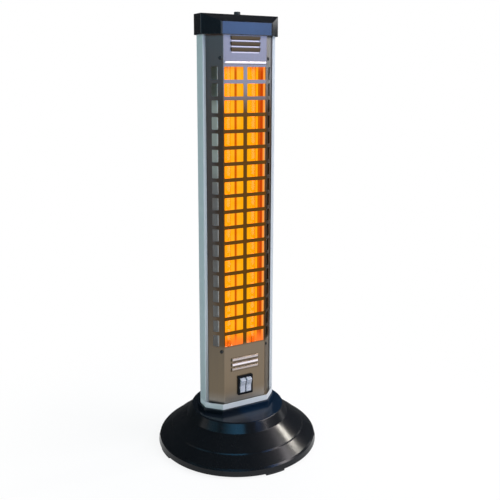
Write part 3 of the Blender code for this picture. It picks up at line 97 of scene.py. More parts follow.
BASE_BLACK = (0.0045, 0.0055, 0.007)
# Navy painted reflection for the deck, and the X span over which it fades in.
DECK_PAINTED_REFLECTION = (0.003, 0.012, 0.028)
DECK_PAINTED_REFLECTION_X = (-0.02, -0.005)


class Tone:
    """A value or a shader from a node. Arithmetic on it adds Math nodes."""

    def __init__(self, tree, socket):
        self.tree = tree
        self.socket = socket

    def math(self, operation, first, second):
        return self.tree.add("ShaderNodeMath", {"operation": operation}, {0: first, 1: second})

    def __add__(self, other):
        return self.math("ADD", self, other)

    def __sub__(self, other):
        return self.math("SUBTRACT", self, other)

    def __rsub__(self, other):
        return self.math("SUBTRACT", other, self)

    def __mul__(self, other):
        return self.math("MULTIPLY", self, other)

    __radd__ = __add__
    __rmul__ = __mul__

    def size(self):
        return self.math("ABSOLUTE", self, 0.0)


class Tree:
    """The nodes of a material or of the room."""

    def __init__(self, owner):
        owner.use_nodes = True
        self.nodes = owner.node_tree.nodes
        self.links = owner.node_tree.links

    def feed(self, node, values):
        for key, value in values.items():
            socket = node.inputs[key]
            if isinstance(value, Tone):
                self.links.new(value.socket, socket)
            elif isinstance(socket.default_value, float):
                socket.default_value = value
            else:
                socket.default_value = (*value, 1.0)[: len(socket.default_value)]

    def add(self, kind, settings, values, output=0):
        """One node: its settings first, then the values or links of its sockets."""
        node = self.nodes.new(kind)
        for key, value in settings.items():
            setattr(node, key, value)
        self.feed(node, values)
        return Tone(self, node.outputs[output])


class Finish(Tree):
    """A material. Constants go on its shader's sockets, and nodes feed what varies."""

    def __init__(self, name, constants):
        self.slot = name
        self.material = bpy.data.materials.new(name)
        super().__init__(self.material)
        self.shader = self.nodes["Principled BSDF"]
        self.feed(self.shader, constants)

    def paint(self, base=None, rough=None, glow=None, normal=None):
        values = {"Base Color": base, "Roughness": rough, "Emission Color": glow, "Normal": normal}
        self.feed(self.shader, {key: value for key, value in values.items() if value is not None})

    def place(self):
        """The place on the object, in metres."""
        return self.add("ShaderNodeTexCoord", {}, {}, "Object")

    def where(self, stretch):
        return self.add("ShaderNodeMapping", {}, {"Vector": self.place(), "Scale": stretch})

    def along(self, axis):
        return self.add("ShaderNodeSeparateXYZ", {}, {0: self.place()}, axis)

    def cloud(self, scale, stretch=(1, 1, 1), detail=3.0):
        """Soft noise from 0 to 1."""
        values = {"Vector": self.where(stretch), "Scale": scale, "Detail": detail}
        return self.add("ShaderNodeTexNoise", {}, values)

    def ease(self, value, low, high):
        """0 below low, 1 above high, and smooth between them."""
        values = {"Value": value, "From Min": low, "From Max": high}
        return self.add("ShaderNodeMapRange", {"interpolation_type": "SMOOTHSTEP"}, values)

    def between(self, value, start, full, fading, end):
        """1 from full to fading, and 0 before start and past end."""
        return self.ease(value, start, full) * (1 - self.ease(value, fading, end))

    def blend(self, share, first, second):
        return self.add("ShaderNodeMix", {"data_type": "RGBA"}, {0: share, 6: first, 7: second}, 2)

    def relief(self, height, depth):
        return self.add("ShaderNodeBump", {}, {"Height": height, "Distance": depth})


def named(*starts):
    """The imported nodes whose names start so, in order."""
    return [node for node in sorted(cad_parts) if node.startswith(starts)]


def middle_of(node):
    low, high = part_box(node)
    return (low + high) / 2


def levels(node):
    low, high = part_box(node)
    return low.z, high.z


def over(node, level):
    """A frame over a node's middle."""
    middle = middle_of(node)
    return Matrix.Translation((middle.x, middle.y, level))


def body_plan(margin, back_y):
    """The chamfered plan of the tray's lip, moved outwards by a margin."""
    front = LIP_FLAT_HALF + margin * math.tan(EIGHTH / 2)
    side = SHELL_X + margin
    front_y = FRONT_Y - LIP_PROUD - margin
    right = [(front, front_y), (side, front_y + side - front), (side, back_y)]
    return [(-front, front_y)] + right + [(-x, y) for x, y in right[:0:-1]]


def rounded(points, radii, steps=6, closed=True):
    """An outline with arcs for corners; radii is one radius or one for each."""
    if not isinstance(radii, (list, tuple)):
        radii = [radii] * len(points)
    result = []
    for index, radius in enumerate(radii):
        corner = Vector(points[index])
        if not radius or (not closed and index in (0, len(points) - 1)):
            result.append(corner)
            continue
        back = (Vector(points[index - 1]) - corner).normalized()
        onward = (Vector(points[(index + 1) % len(points)]) - corner).normalized()
        half = (math.pi - back.angle(onward)) / 2
        centre = corner + (back + onward).normalized() * radius / math.cos(half)
        start = corner + back * radius * math.tan(half) - centre
        turn = -2 * half if back.x * onward.y > back.y * onward.x else 2 * half
        for step in range(steps + 1):
            result.append(centre + Matrix.Rotation(turn * step / steps, 2) @ start)
    return result


def shifted(points, distance):
    """An open path moved to the right of its direction, with mitred corners."""
    ways = [(Vector(b) - Vector(a)).normalized() for a, b in zip(points, points[1:])]
    normals = [Vector((way.y, -way.x)) for way in ways]
    result = []
    for index, point in enumerate(points):
        before = normals[max(index - 1, 0)]
        after = normals[min(index, len(normals) - 1)]
        mitre = (before + after).normalized()
        result.append(Vector(point) + mitre * distance / mitre.dot(before))
    return result


def prism(outline, low, high, place=Matrix(), bm=None):
    """A closed straight body, added to bm if one is given."""
    bm = bm or bmesh.new()
    lower, upper = (
        [bm.verts.new(place @ Vector((x, y, level))) for x, y in outline] for level in (low, high)
    )
    faces = [bm.faces.new(lower[::-1]), bm.faces.new(upper)]
    for index in range(len(outline)):
        ring = (lower[index - 1], lower[index], upper[index], upper[index - 1])
        faces.append(bm.faces.new(ring))
    bmesh.ops.recalc_face_normals(bm, faces=faces)
    return bm


def turned(profile, sides, place=Matrix(), bm=None, closed=False):
    """Spins (radius, height) pairs about Z; closed joins the last pair to the first."""
    bm = bm or bmesh.new()
    part = bmesh.new()
    ring = [part.verts.new((radius, 0, height)) for radius, height in profile]
    pairs = list(zip(ring, ring[1:])) + ([(ring[-1], ring[0])] if closed else [])
    edges = [part.edges.new(pair) for pair in pairs]
    bmesh.ops.spin(part, geom=ring + edges, axis=(0, 0, 1), angle=math.tau, steps=sides)
    bmesh.ops.remove_doubles(part, verts=part.verts, dist=0.000002)
    bmesh.ops.recalc_face_normals(part, faces=part.faces)
    part.transform(place)
    pour(bm, part)
    return bm


def rod(radius, low, high):
    return [(0, low), (radius, low), (radius, high), (0, high)]


def pour(bm, other):
    """Adds another body's faces, and frees it."""
    scratch = bpy.data.meshes.new("scratch")
    other.to_mesh(scratch)
    other.free()
    bm.from_mesh(scratch)
    bpy.data.meshes.remove(scratch)


def put(name, data):
    item = bpy.data.objects.new(name, data)
    bpy.context.scene.collection.objects.link(item)
    return item


def shape(name, bm, finish=None):
    mesh = bpy.data.meshes.new(name)
    bm.to_mesh(mesh)
    bm.free()
    if finish:
        mesh.materials.append(finish.material)
    return put(name, mesh)


def settle(piece):
    """Makes a piece's modifiers part of its mesh."""
    view = bpy.context.evaluated_depsgraph_get()
    mesh = bpy.data.meshes.new_from_object(piece.evaluated_get(view))
    piece.modifiers.clear()
    piece.data = mesh


def carve(piece, bm, operation="DIFFERENCE"):
    tool = shape("tool", bm)
    step = piece.modifiers.new("carve", "BOOLEAN")
    step.operation = operation
    step.object = tool
    settle(piece)
    bpy.data.objects.remove(tool)


def bore(piece, place, radius, low, high):
    carve(piece, turned(rod(radius, low, high), BORE_SIDES, place))


def soften(piece, width, segments=3, angle=math.radians(38)):
    """Rounds the sharp edges of a piece."""
    step = piece.modifiers.new("edges", "BEVEL")
    step.width = width
    step.segments = segments
    step.angle_limit = angle
    settle(piece)


def fit(piece, node, body="heater"):
    """Smooths a piece's round faces and puts it in place of its solid."""
    piece.data.shade_smooth()
    piece.data.set_sharp_from_angle(angle=math.radians(30))
    step = piece.modifiers.new("flat faces", "WEIGHTED_NORMAL")
    step.keep_sharp = True
    settle(piece)
    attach(piece, body)
    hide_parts(node)


def moulded_black(name, colour, rough, grain, gloss=0.25, deck=None):
    """Black moulding: a fine spark-eroded grain, and faint flow marks in colour and gloss."""
    finish = Finish(name, {"IOR": 1.5, "Specular IOR Level": gloss})
    flow = finish.cloud(22.0, (1, 1, 0.4))
    fine = finish.cloud(2600.0, detail=2.0)
    lighter = tuple(1.5 * part for part in colour)
    base = finish.blend(flow, colour, lighter)
    # Painted reflection: a navy blue on the deck, full towards +X and a fifth of it towards -X.
    if deck:
        share = finish.ease(finish.along("X"), *DECK_PAINTED_REFLECTION_X) * 0.8 + 0.2
        share = finish.ease(finish.along("Z"), DECK_LEVEL - 0.001, DECK_LEVEL) * share
        base = finish.blend(share, base, deck)
    rough = rough + flow * 0.08 + fine * 0.05
    finish.paint(base=base, rough=rough, normal=finish.relief(fine, grain))
    return finish


def base_outline():
    """From the deck's middle down the outside, with a small step below each cone."""
    deck, edge, band, (cone_x, cone_z), (rim_x, rim_z), foot = BASE_CORNERS
    cone = [(cone_x - CONE_STEP, cone_z + CONE_STEP / 2), (cone_x, cone_z - CONE_STEP)]
    rim = [(rim_x - RIM_SHOULDER, rim_z + CONE_STEP / 2), (rim_x, rim_z - RIM_SHOULDER)]
    return rounded([deck, edge, band, *cone, *rim, foot], OUTLINE_ROUNDS, closed=False)


def foot_seats():
    """Short shelves inside the rim, over the feet."""
    seats = bmesh.new()
    wall = BASE_CORNERS[-2][0] - BASE_WALL / 2
    for node in FEET:
        low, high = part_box(node)
        middle = (low + high) / 2
        inner = middle.xy.length - min(high.x - low.x, high.y - low.y) / 2
        foot = high.z + GAP
        head = foot + SEAT_THICKNESS
        ring = [(inner, foot), (wall, foot), (wall, head), (inner, head)]
        seat = bmesh.new()
        section = [seat.verts.new((radius, 0, height)) for radius, height in ring]
        face = seat.faces.new(section)
        bmesh.ops.spin(seat, geom=section + [face], axis=(0, 0, 1), angle=SEAT_TURN, steps=6)
        bmesh.ops.recalc_face_normals(seat, faces=seat.faces)
        turn = math.atan2(middle.y, middle.x) - SEAT_TURN / 2
        seat.transform(Matrix.Rotation(turn, 4, "Z"))
        pour(seats, seat)
    return seats


def ribs():
    middle = shifted(BASE_CORNERS, BASE_WALL / 2)
    upper = [point for point in middle if point.x > RIB_INNER_RADIUS]
    outline = [
        (RIB_INNER_RADIUS, DECK_LEVEL - BASE_WALL / 2),
        (RIB_INNER_RADIUS, RIB_INNER_LEVEL),
        (upper[-2].x, RIB_FOOT_LEVEL),
        *upper[-2::-1],
    ]
    plates = bmesh.new()
    for index in range(RIB_COUNT):
        turn = EIGHTH / 2 + EIGHTH * index - QUARTER
        stand = Matrix.Rotation(turn, 4, "Z") @ Matrix.Rotation(QUARTER, 4, "X")
        prism(outline, -RIB_HALF, RIB_HALF, stand, plates)
    return plates


def base_moulding():
    inner = shifted(BASE_CORNERS, BASE_WALL)
    inner[-1] = Vector((inner[-1].x, RIM_LEVEL))
    base = shape("base_moulding", turned(base_outline() + inner[::-1], BASE_SIDES), base_plastic)
    back = SHELL_BACK_Y + PLINTH_MARGIN
    plan = rounded(body_plan(PLINTH_MARGIN, back), PLINTH_CORNER)
    plinth = shape("plinth", prism(plan, DECK_LEVEL - BASE_WALL / 2, PLINTH_TOP))
    soften(plinth, PLINTH_EDGE)
    body = bmesh.new()
    body.from_mesh(plinth.data)
    bpy.data.objects.remove(plinth)
    carve(base, body, "UNION")
    hollow = body_plan(PLINTH_MARGIN - BASE_WALL, back - BASE_WALL)
    carve(base, prism(hollow, DECK_LEVEL - BASE_WALL - OVERRUN, PLINTH_TOP - BASE_WALL))
    carve(base, ribs(), "UNION")
    carve(base, foot_seats(), "UNION")
    bosses, holes = bmesh.new(), bmesh.new()
    for node in named("base_screw"):
        place = over(node, PLINTH_TOP)
        turned(rod(BOSS_RADIUS, -BOSS_LENGTH, -BASE_WALL / 2), BORE_SIDES, place, bosses)
        hole = rod(BASE_SCREW_RADIUS + GAP, -BOSS_LENGTH - OVERRUN, OVERRUN)
        turned(hole, HOLE_SIDES, place, holes)
    carve(base, bosses, "UNION")
    carve(base, holes)
    fit(base, "base_shell")


base_plastic = moulded_black("base_plastic", BASE_BLACK, 0.14, 0.000008, deck=DECK_PAINTED_REFLECTION)
base_moulding()

# Feet. Four black rubber pads with a stepped top, pressed up inside the base's rim, a quarter
# turn apart. They are dull, with the dust that soft rubber picks up.

RUBBER = ((0.012, 0.012, 0.012), (0.03, 0.029, 0.028))


def dress(finish, *nodes):
    """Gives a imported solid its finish."""
    for node in nodes:
        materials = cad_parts[node].data.materials
        materials.clear()
        materials.append(finish.material)


def mottled(name, constants, scale, colours, rough=None, relief=None):
    """A plain finish: soft noise varies its colour and gloss, and a finer one may roughen it."""
    finish = Finish(name, constants)
    mottle = finish.cloud(scale)
    finish.paint(base=finish.blend(mottle, *colours))
    if rough:
        finish.paint(rough=rough[0] + mottle * rough[1])
    if relief:
        grain, depth = relief
        finish.paint(normal=finish.relief(finish.cloud(grain), depth))
    return finish


dress(mottled("foot_rubber", {"IOR": 1.5}, 300.0, RUBBER, (0.7, 0.2), (1800.0, 0.00004)), *FEET)

# Bottom tray and back shell. Mild steel sheet, folded and sprayed white: the tray closes the
# column's foot with an upright lip, and the shell is a deep channel whose front edges turn in.

FLAT_HALF = 0.0372
FACET_REACH = 0.0201
SIDE_X = FLAT_HALF + FACET_REACH
SHELL_SHEET = 0.0008
SHELL_BENDS = (0.0009, 0.002, 0.002, 0.0009)
SHELL_RETURN_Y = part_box("back_shell")[0].y
VENT_COUNT = 6
VENT_PITCH = 0.009
VENT = (0.08, 0.0035)
VENT_INSET = 0.024
SCREW_HOLE = 0.0018
GLAND_HOLE = 0.0061
LIP_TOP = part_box("bottom_tray")[1].z
LOW_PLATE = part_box("reflector")[0].z - GAP
HIGH_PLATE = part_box("reflector")[1].z + GAP
PAINT = ((0.49, 0.54, 0.56), (0.53, 0.58, 0.60))
# Painted light: the enamel below the lip's top is lighter than the rest.
PAINTED_LIGHT_ON_LIP = (0.60, 0.64, 0.66)
PAINT_DUST = (0.33, 0.36, 0.34)
PAINT_SHADE = (0.16, 0.17, 0.165)
DUST_LEVELS = (0.07, 0.2)
SHADE_FOOT = (0.1, 0.25)
SHADE_HEAD = (0.4, 0.66)
SHADE_X = (SHELL_X - 0.0032, SHELL_X - 0.0018)
SHADE_FOOT_SHIFT = 0.0014
SHADE_LEFT_OF = (-0.03, -0.02)
SHADE_FRONT_OF = (-0.006, -0.005)


def white_paint():
    """Sprayed enamel: faint orange peel, dust near the floor, painted shade on the left return."""
    finish = Finish("white_paint", {"IOR": 1.5})
    peel = finish.cloud(420.0, detail=2.0)
    patch = finish.cloud(14.0, (1, 1, 0.3))
    level, side = finish.along("Z"), finish.along("X")
    # Painted shade on the inner part of the left return, deeper at the foot and at the head.
    foot = 1 - finish.ease(level, *SHADE_FOOT)
    turned_in = 1 - finish.ease(side.size() - foot * SHADE_FOOT_SHIFT, *SHADE_X)
    shaded = (1 - finish.ease(side, *SHADE_LEFT_OF)) * turned_in
    shaded = shaded * (1 - finish.ease(finish.along("Y"), *SHADE_FRONT_OF))
    depth = 0.23 + finish.ease(level, *SHADE_HEAD) * 0.5 + foot * 0.5
    dusty = 1 - finish.ease(level, *DUST_LEVELS)
    # Painted light below the lip's top.
    lip = 1 - finish.ease(level, LIP_TOP, LIP_TOP + 0.0002)
    base = finish.blend(shaded * depth, finish.blend(patch, *PAINT), PAINT_SHADE)
    base = finish.blend(lip, finish.blend(dusty * 0.2, base, PAINT_DUST), PAINTED_LIGHT_ON_LIP)
    finish.paint(base=base, rough=0.26 + patch * 0.1, normal=finish.relief(peel, 0.00002))
    return finish


def facing(origin, normal):
    """A frame on an upright face: local X to its right, local Y up, local Z outwards."""
    up = Vector((0, 0, 1))
    out = Vector(normal).normalized()
    place = Matrix((up.cross(out), up, out)).transposed().to_4x4()
    place.translation = origin
    return place


def rectangle(width, height):
    x, y = width / 2, height / 2
    return [(-x, -y), (x, -y), (x, y), (-x, y)]


def mirrored(half):
    """A path over to its mirror image across X."""
    return half + [(-x, y) for x, y in reversed(half)]


def folded_sheet(corners, radii, thickness, steps=6):
    """The section of a bent sheet: its outer path, then its inner one back again."""
    ends = [0, *radii, 0]
    outer = rounded(corners, ends, steps, closed=False)
    inner_radii = [max(radius - thickness, thickness / 4) if radius else 0 for radius in ends]
    inner = rounded(shifted(corners, -thickness), inner_radii, steps, closed=False)
    return outer + inner[::-1]


def pierce(piece, places, radius):
    """Round holes along the normals of some frames."""
    holes = bmesh.new()
    for place in places:
        turned(rod(radius, -OVERRUN, OVERRUN), HOLE_SIDES, place, holes)
    carve(piece, holes)


def back_places(*starts):
    """Frames on the back panel, at the middles of some fasteners."""
    spots = [middle_of(node) for node in named(*starts)]
    return [facing((spot.x, SHELL_BACK_Y, spot.z), (0, 1, 0)) for spot in spots]


def back_panel():
    side = [(SIDE_X + GAP, SHELL_RETURN_Y), (SHELL_X, SHELL_RETURN_Y), (SHELL_X, SHELL_BACK_Y)]
    section = folded_sheet(mirrored(side), SHELL_BENDS, SHELL_SHEET)
    shell = shape("back_panel", prism(section, *levels("back_shell")), paint)
    slots = bmesh.new()
    outline = rounded(rectangle(*VENT), VENT[1] * 0.49)
    for index in range(VENT_COUNT):
        inset = VENT_INSET + index * VENT_PITCH
        for level in (LOW_PLATE + inset, HIGH_PLATE - inset):
            place = facing((0, SHELL_BACK_Y, level), (0, 1, 0))
            prism(outline, -OVERRUN / 2, OVERRUN / 2, place, slots)
    carve(shell, slots)
    pierce(shell, back_places("plate_screw", "tray_screw"), SCREW_HOLE)
    pierce(shell, back_places("gland_nut"), GLAND_HOLE)
    fit(shell, "back_shell")


paint = white_paint()
dress(paint, "bottom_tray")
back_panel()

# Front cover. One stainless sheet with a lengthwise grain, bent at four folds. Rows of windows
# are punched in its front and facets, hooded louvres are pressed above and below, and a bead tops
# the rows. The bars between the windows are tinted brown. Painted reflections, highlights and
# shade colour the sheet by height, on its facets and foot, on the louvres and on the bead.

COVER_SHEET = 0.0007
COVER_BENDS = (0.002, 0.002, 0.002, 0.002)
COVER_RETURN = 0.0121
ROW_COUNT = 18
ROW_PITCH = 0.025
WINDOW_HEIGHT = 0.0193
WINDOW_CORNER = 0.0012
GRILLE_HALF = 0.0359
CENTRE_BAR = 0.0062
SIDE_WINDOW_WIDTH = 0.0103
SIDE_WINDOW_FROM_FOLD = 0.0090
LOUVRE_COUNT = 3
LOUVRE_PITCH = 0.0085
LOUVRE_HALF = 0.0255
LOUVRE_HEIGHT = 0.006
LOUVRE_PROUD = 0.0026
LOUVRE_END = 0.0018
COVER_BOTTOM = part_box("front_cover")[0].z
ROWS_BOTTOM = COVER_BOTTOM + 0.1055
ROWS_TOP = ROWS_BOTTOM + ROW_PITCH * (ROW_COUNT - 1) + WINDOW_HEIGHT
LOWER_LOUVRES = COVER_BOTTOM + 0.0614
UPPER_LOUVRES = ROWS_TOP + 0.0281
BEAD_LEVEL = ROWS_TOP + 0.0059
BEAD_HALF = 0.0360
BEAD_HEIGHT = 0.0046
BEAD_PROUD = 0.0011
HOUSING_OPENING = (0.0248, 0.0316)
COVER_SCREW_FROM_FOLD = 0.0048
COVER_SCREW_LEVELS = (ROWS_BOTTOM - 0.0081, ROWS_TOP + 0.0126)
SWITCH_LEVEL = middle_of("switch_housing").z
PUNCH_DEPTH = 0.0017
# Painted reflection: the sheet is brown low down and lilac high up, over STEEL_LEVELS.
STEEL_PAINTED_REFLECTION = ((0.24, 0.18, 0.115), (0.25, 0.235, 0.255))
STEEL_LEVELS = (0.08, 0.66)
STEEL_GRAIN = (0.16, 0.15, 0.14)
# Painted sheen: a lighter grey near the cover's foot, fading out upwards.
FOOT_PAINTED_SHEEN = (0.46, 0.45, 0.43)
FOOT_PAINTED_SHEEN_LEVELS = (COVER_BOTTOM + 0.004, COVER_BOTTOM + 0.03)
FOLD_FADE = (FLAT_HALF - 0.0002, FLAT_HALF + 0.0006)
# Painted reflection on the left facet: dark low down, orange-brown higher up.
LEFT_FACET_PAINTED_LIGHT = ((0.06, 0.06, 0.045), (0.42, 0.20, 0.05))
LEFT_FACET_PAINTED_LIGHT_LEVELS = (0.35, 0.6)
# Painted reflection on the right facet near its fold: lighter, and warmer low down.
RIGHT_FACET_PAINTED_LIGHT = ((0.62, 0.50, 0.36), (0.52, 0.51, 0.48))
RIGHT_FACET_EDGE = (FLAT_HALF + 0.012, FLAT_HALF + 0.016)
# Brown-orange on the bars between the window rows, less at the top rows and near the left fold.
BAR_BROWN = (0.11, 0.045, 0.001)
TINT_LEVELS = (ROWS_BOTTOM - 0.004, ROWS_BOTTOM + 0.004, ROWS_TOP - 0.075, ROWS_TOP - 0.02)
TINT_FADES = ((0.0365, 0.038), (0.043, 0.051))
RIM_ENDS = (LOUVRE_HALF - 0.0026, LOUVRE_HALF - 0.0018)
RIM_FOOT_TOP = (0.0037, 0.0047)
RIM_EASE = 0.0004
# Painted highlights on the louvres' rims, and painted shade under the lower louvres' mouths.
LOWER_RIM_PAINTED_HIGHLIGHT = (0.90, 0.83, 0.85)
LOWER_SHADE = (0.05, 0.035, 0.04)
UPPER_RIM_PAINTED_HIGHLIGHT = (0.64, 0.56, 0.54)
# A dark painted reflection on the upper hoods, and a painted highlight on the bead.
HOOD_PAINTED_REFLECTION = (0.105, 0.08, 0.055)
BEAD_PAINTED_HIGHLIGHT = (0.80, 0.74, 0.76)
LOWER_SHADE_FOOT = (-0.0008, -0.0004)
UPPER_RIM_EDGES = (-0.0020, -0.0016, -0.0002, 0.0002)
# Each lower louvre: painted highlight share, painted shade share, and where the highlight starts.
LOUVRE_PAINTED_LIGHT = ((0.4, 0.3, 0.0024), (1.0, 0.7, 0.0014), (0.45, 0.9, 0.0014))
BEAD_PRESS = (0.0001, 0.0004)
BEAD_LIT = (BEAD_LEVEL - 0.0014, BEAD_LEVEL - 0.0008)
HOOD_PRESS = (0.0003, 0.0007)
HOOD_LEVELS = (BEAD_LEVEL + 0.006, BEAD_LEVEL + 0.008)


def brushed_stainless():
    """Lengthwise grain, a brown tint round the windows, and painted light and shade on the sheet.
    """
    finish = Finish("stainless", {"Metallic": 1.0})
    level, side = finish.along("Z"), finish.along("X")
    across = side.size()
    proud = FRONT_Y - finish.along("Y")
    grain = finish.cloud(900.0, (1, 1, 0.012), detail=2.0)
    smear = finish.cloud(9.0, (1, 1, 0.5))
    rising = finish.ease(level, *STEEL_LEVELS)
    left_facet = finish.ease(0 - side, *FOLD_FADE)
    left_painted_light = finish.blend(finish.ease(level, *LEFT_FACET_PAINTED_LIGHT_LEVELS), *LEFT_FACET_PAINTED_LIGHT)
    right_facet = finish.between(side, *FOLD_FADE, *RIGHT_FACET_EDGE)
    fades = [finish.ease(across, *fade) for fade in TINT_FADES]
    tint = finish.between(level, *TINT_LEVELS) * (0.95 - left_facet * (fades[0] + fades[1]) * 0.425)
    layers = [
        ((1 - finish.ease(level, *FOOT_PAINTED_SHEEN_LEVELS)) * 0.6, FOOT_PAINTED_SHEEN),
        (grain * 0.4, STEEL_GRAIN),
        (left_facet * 0.3, left_painted_light),
        (right_facet * 0.85, finish.blend(rising, *RIGHT_FACET_PAINTED_LIGHT)),
        (tint, BAR_BROWN),
    ]
    inside = 1 - finish.ease(across, *RIM_ENDS)
    # Painted highlight and painted shade on each louvre.
    for index, (highlight_share, dark, start) in enumerate(LOUVRE_PAINTED_LIGHT):
        mouth = level - (LOWER_LOUVRES + LOUVRE_PITCH * index)
        bright = finish.between(mouth, start, start + RIM_EASE, *RIM_FOOT_TOP)
        shade = finish.between(mouth, *LOWER_SHADE_FOOT, start - RIM_EASE, start)
        foot = level - (UPPER_LOUVRES + LOUVRE_PITCH * index - LOUVRE_HEIGHT)
        rim = finish.between(foot, *UPPER_RIM_EDGES)
        layers.append((bright * inside * highlight_share, LOWER_RIM_PAINTED_HIGHLIGHT))
        layers.append((shade * inside * dark, LOWER_SHADE))
        layers.append((rim * inside * 0.8, UPPER_RIM_PAINTED_HIGHLIGHT))
    # Painted highlight on the bead's upper part, and dark painted reflection on the upper hoods.
    upper = finish.ease(level, *HOOD_LEVELS)
    bead = finish.ease(proud, *BEAD_PRESS) * (1 - upper)
    layers.append((bead * finish.ease(level, *BEAD_LIT), BEAD_PAINTED_HIGHLIGHT))
    layers.append((finish.ease(proud, *HOOD_PRESS) * upper, HOOD_PAINTED_REFLECTION))
    # The painted reflection by height is the ground under the other layers.
    metal = finish.blend(rising, *STEEL_PAINTED_REFLECTION)
    for share, tone in layers:
        metal = finish.blend(share, metal, tone)
    rough = 0.27 + grain * 0.12 + smear * 0.08
    finish.paint(base=metal, rough=rough, normal=finish.relief(grain, 0.000006))
    return finish


def on_front(level, x=0):
    """A frame on the cover's front."""
    return facing((x, FRONT_Y, level), (0, -1, 0))


def facet_place(side, from_fold, level):
    """A frame on a facet of the cover; side is -1 on the left and 1 on the right."""
    run = from_fold * math.cos(EIGHTH)
    return facing((side * (FLAT_HALF + run), FRONT_Y + run, level), (side, -1, 0))


def keep_side(bm, point, normal):
    """Cuts off what lies on the normal's side of a plane, and closes the body."""
    everything = bm.verts[:] + bm.edges[:] + bm.faces[:]
    bmesh.ops.bisect_plane(
        bm, geom=everything, dist=0.000001, plane_co=point, plane_no=normal, clear_outer=True
    )
    bmesh.ops.holes_fill(bm, edges=[edge for edge in bm.edges if edge.is_boundary])


def round_bar(half_length, radius, depth, end, place, sides=48, cap_steps=9):
    """A bar along local X, with rounded ends, flattened along local Z."""
    angles = [QUARTER * step / cap_steps for step in range(cap_steps + 1)]
    quarter = [(radius * math.sin(angle), end * math.cos(angle)) for angle in angles]
    straight = half_length - end
    profile = [(ring, -straight - rise) for ring, rise in quarter]
    profile += [(ring, -level) for ring, level in reversed(profile)]
    flatten = Matrix.Diagonal((1, 1, depth / radius, 1))
    return turned(profile, sides, place @ flatten @ Z_TO_X)


def hoods(inset):
    """The louvres' bodies, less an inset. Lower ones open downwards, upper ones upwards."""
    bodies = bmesh.new()
    for index in range(LOUVRE_COUNT):
        for first, rise in ((LOWER_LOUVRES, 1), (UPPER_LOUVRES, -1)):
            edge = first + index * LOUVRE_PITCH
            sizes = (LOUVRE_HALF, LOUVRE_HEIGHT, LOUVRE_PROUD, LOUVRE_END)
            hood = round_bar(*[size - inset for size in sizes], on_front(edge))
            reach = GAP if inset else 0
            keep_side(hood, (0, 0, edge - rise * reach), (0, 0, -rise))
            if not inset:
                keep_side(hood, (0, FRONT_Y + COVER_SHEET / 2, 0), (0, 1, 0))
            pour(bodies, hood)
    return bodies


def windows():
    punches = bmesh.new()
    front_width = GRILLE_HALF - CENTRE_BAR / 2
    front = rounded(rectangle(front_width, WINDOW_HEIGHT), WINDOW_CORNER, 4)
    beside = rounded(rectangle(SIDE_WINDOW_WIDTH, WINDOW_HEIGHT), WINDOW_CORNER, 4)
    for row in range(ROW_COUNT):
        level = ROWS_BOTTOM + WINDOW_HEIGHT / 2 + ROW_PITCH * row
        for side in (-1, 1):
            middle = side * (GRILLE_HALF + CENTRE_BAR / 2) / 2
            prism(front, -PUNCH_DEPTH, OVERRUN, on_front(level, middle), punches)
            place = facet_place(side, SIDE_WINDOW_FROM_FOLD + SIDE_WINDOW_WIDTH / 2, level)
            prism(beside, -PUNCH_DEPTH, OVERRUN, place, punches)
    return punches


def windowed_cover():
    return_y = FRONT_Y + FACET_REACH + COVER_RETURN
    side = [(SIDE_X, return_y), (SIDE_X, FRONT_Y + FACET_REACH), (FLAT_HALF, FRONT_Y)]
    section = folded_sheet(mirrored(side)[::-1], COVER_BENDS, COVER_SHEET)
    cover = shape("windowed_cover", prism(section, *levels("front_cover")), stainless)
    carve(cover, hoods(0), "UNION")
    carve(cover, hoods(COVER_SHEET))
    half = BEAD_HEIGHT / 2
    bead = round_bar(BEAD_HALF, half, BEAD_PROUD, half, on_front(BEAD_LEVEL), 32, 6)
    keep_side(bead, (0, FRONT_Y + COVER_SHEET / 2, 0), (0, 1, 0))
    carve(cover, bead, "UNION")
    carve(cover, windows())
    carve(cover, prism(rectangle(*HOUSING_OPENING), -OVERRUN, OVERRUN, on_front(SWITCH_LEVEL)))
    for side in (-1, 1):
        places = [facet_place(side, COVER_SCREW_FROM_FOLD, level) for level in COVER_SCREW_LEVELS]
        pierce(cover, places, SCREW_HOLE)
    fit(cover, "front_cover")


stainless = brushed_stainless()
windowed_cover()

# Reflector. Thin bright aluminium, folded to a trough with wings and a ridge down its middle.
# Its inner face carries a painted yellow glow for the elements' light, dim red at its folds.

TROUGH_SHEET = 0.0005
TROUGH_HALF = 0.0430
TROUGH_FLOOR_Y = FRONT_Y + 0.033
TROUGH_WING_Y = FRONT_Y + 0.0085
TROUGH_CORNER = 0.004
TROUGH_HEM = 0.004
TROUGH_BENDS = (0.0008, 0.0012, 0.0012, 0.0006, 0.0006, 0.0006, 0.0012, 0.0012, 0.0008)
RIDGE = 0.002
RIDGE_GLOW = (0.0001, 0.0004, RIDGE, RIDGE + 0.0004)
CORNER_GLOW = (TROUGH_HALF - 0.0038, TROUGH_HALF - 0.0030)
WING_GLOW = (TROUGH_HALF - 0.0008, TROUGH_HALF - 0.0003)
REAR_FADE = (0.0045, 0.0075)
GLOW_LEVELS = (LOW_PLATE + 0.004, LOW_PLATE + 0.036, HIGH_PLATE - 0.03, HIGH_PLATE - 0.008)
# Painted glow on the inner face, with its colours in the folds, on the wings and near the end
# plates.
LIT_METAL = (0.12, 0.055, 0.015)
YELLOW_GLOW = ((1.0, 0.38, 0.0), (1.0, 0.43, 0.004))
WING_PAINTED_GLOW = (1.0, 0.33, 0.05)
FOLD_PAINTED_GLOW = (0.40, 0.02, 0.0)
END_PAINTED_GLOW = (1.0, 0.2, 0.03)
OUTER_GLOW = ((0.42, 0.40, 0.38), (0.85, 1.0, 0.92))
OUTER_GLOW_TOP = (0.08, 0.08, 0.02)
ALUMINIUM = ((0.62, 0.64, 0.60), (0.72, 0.73, 0.70))


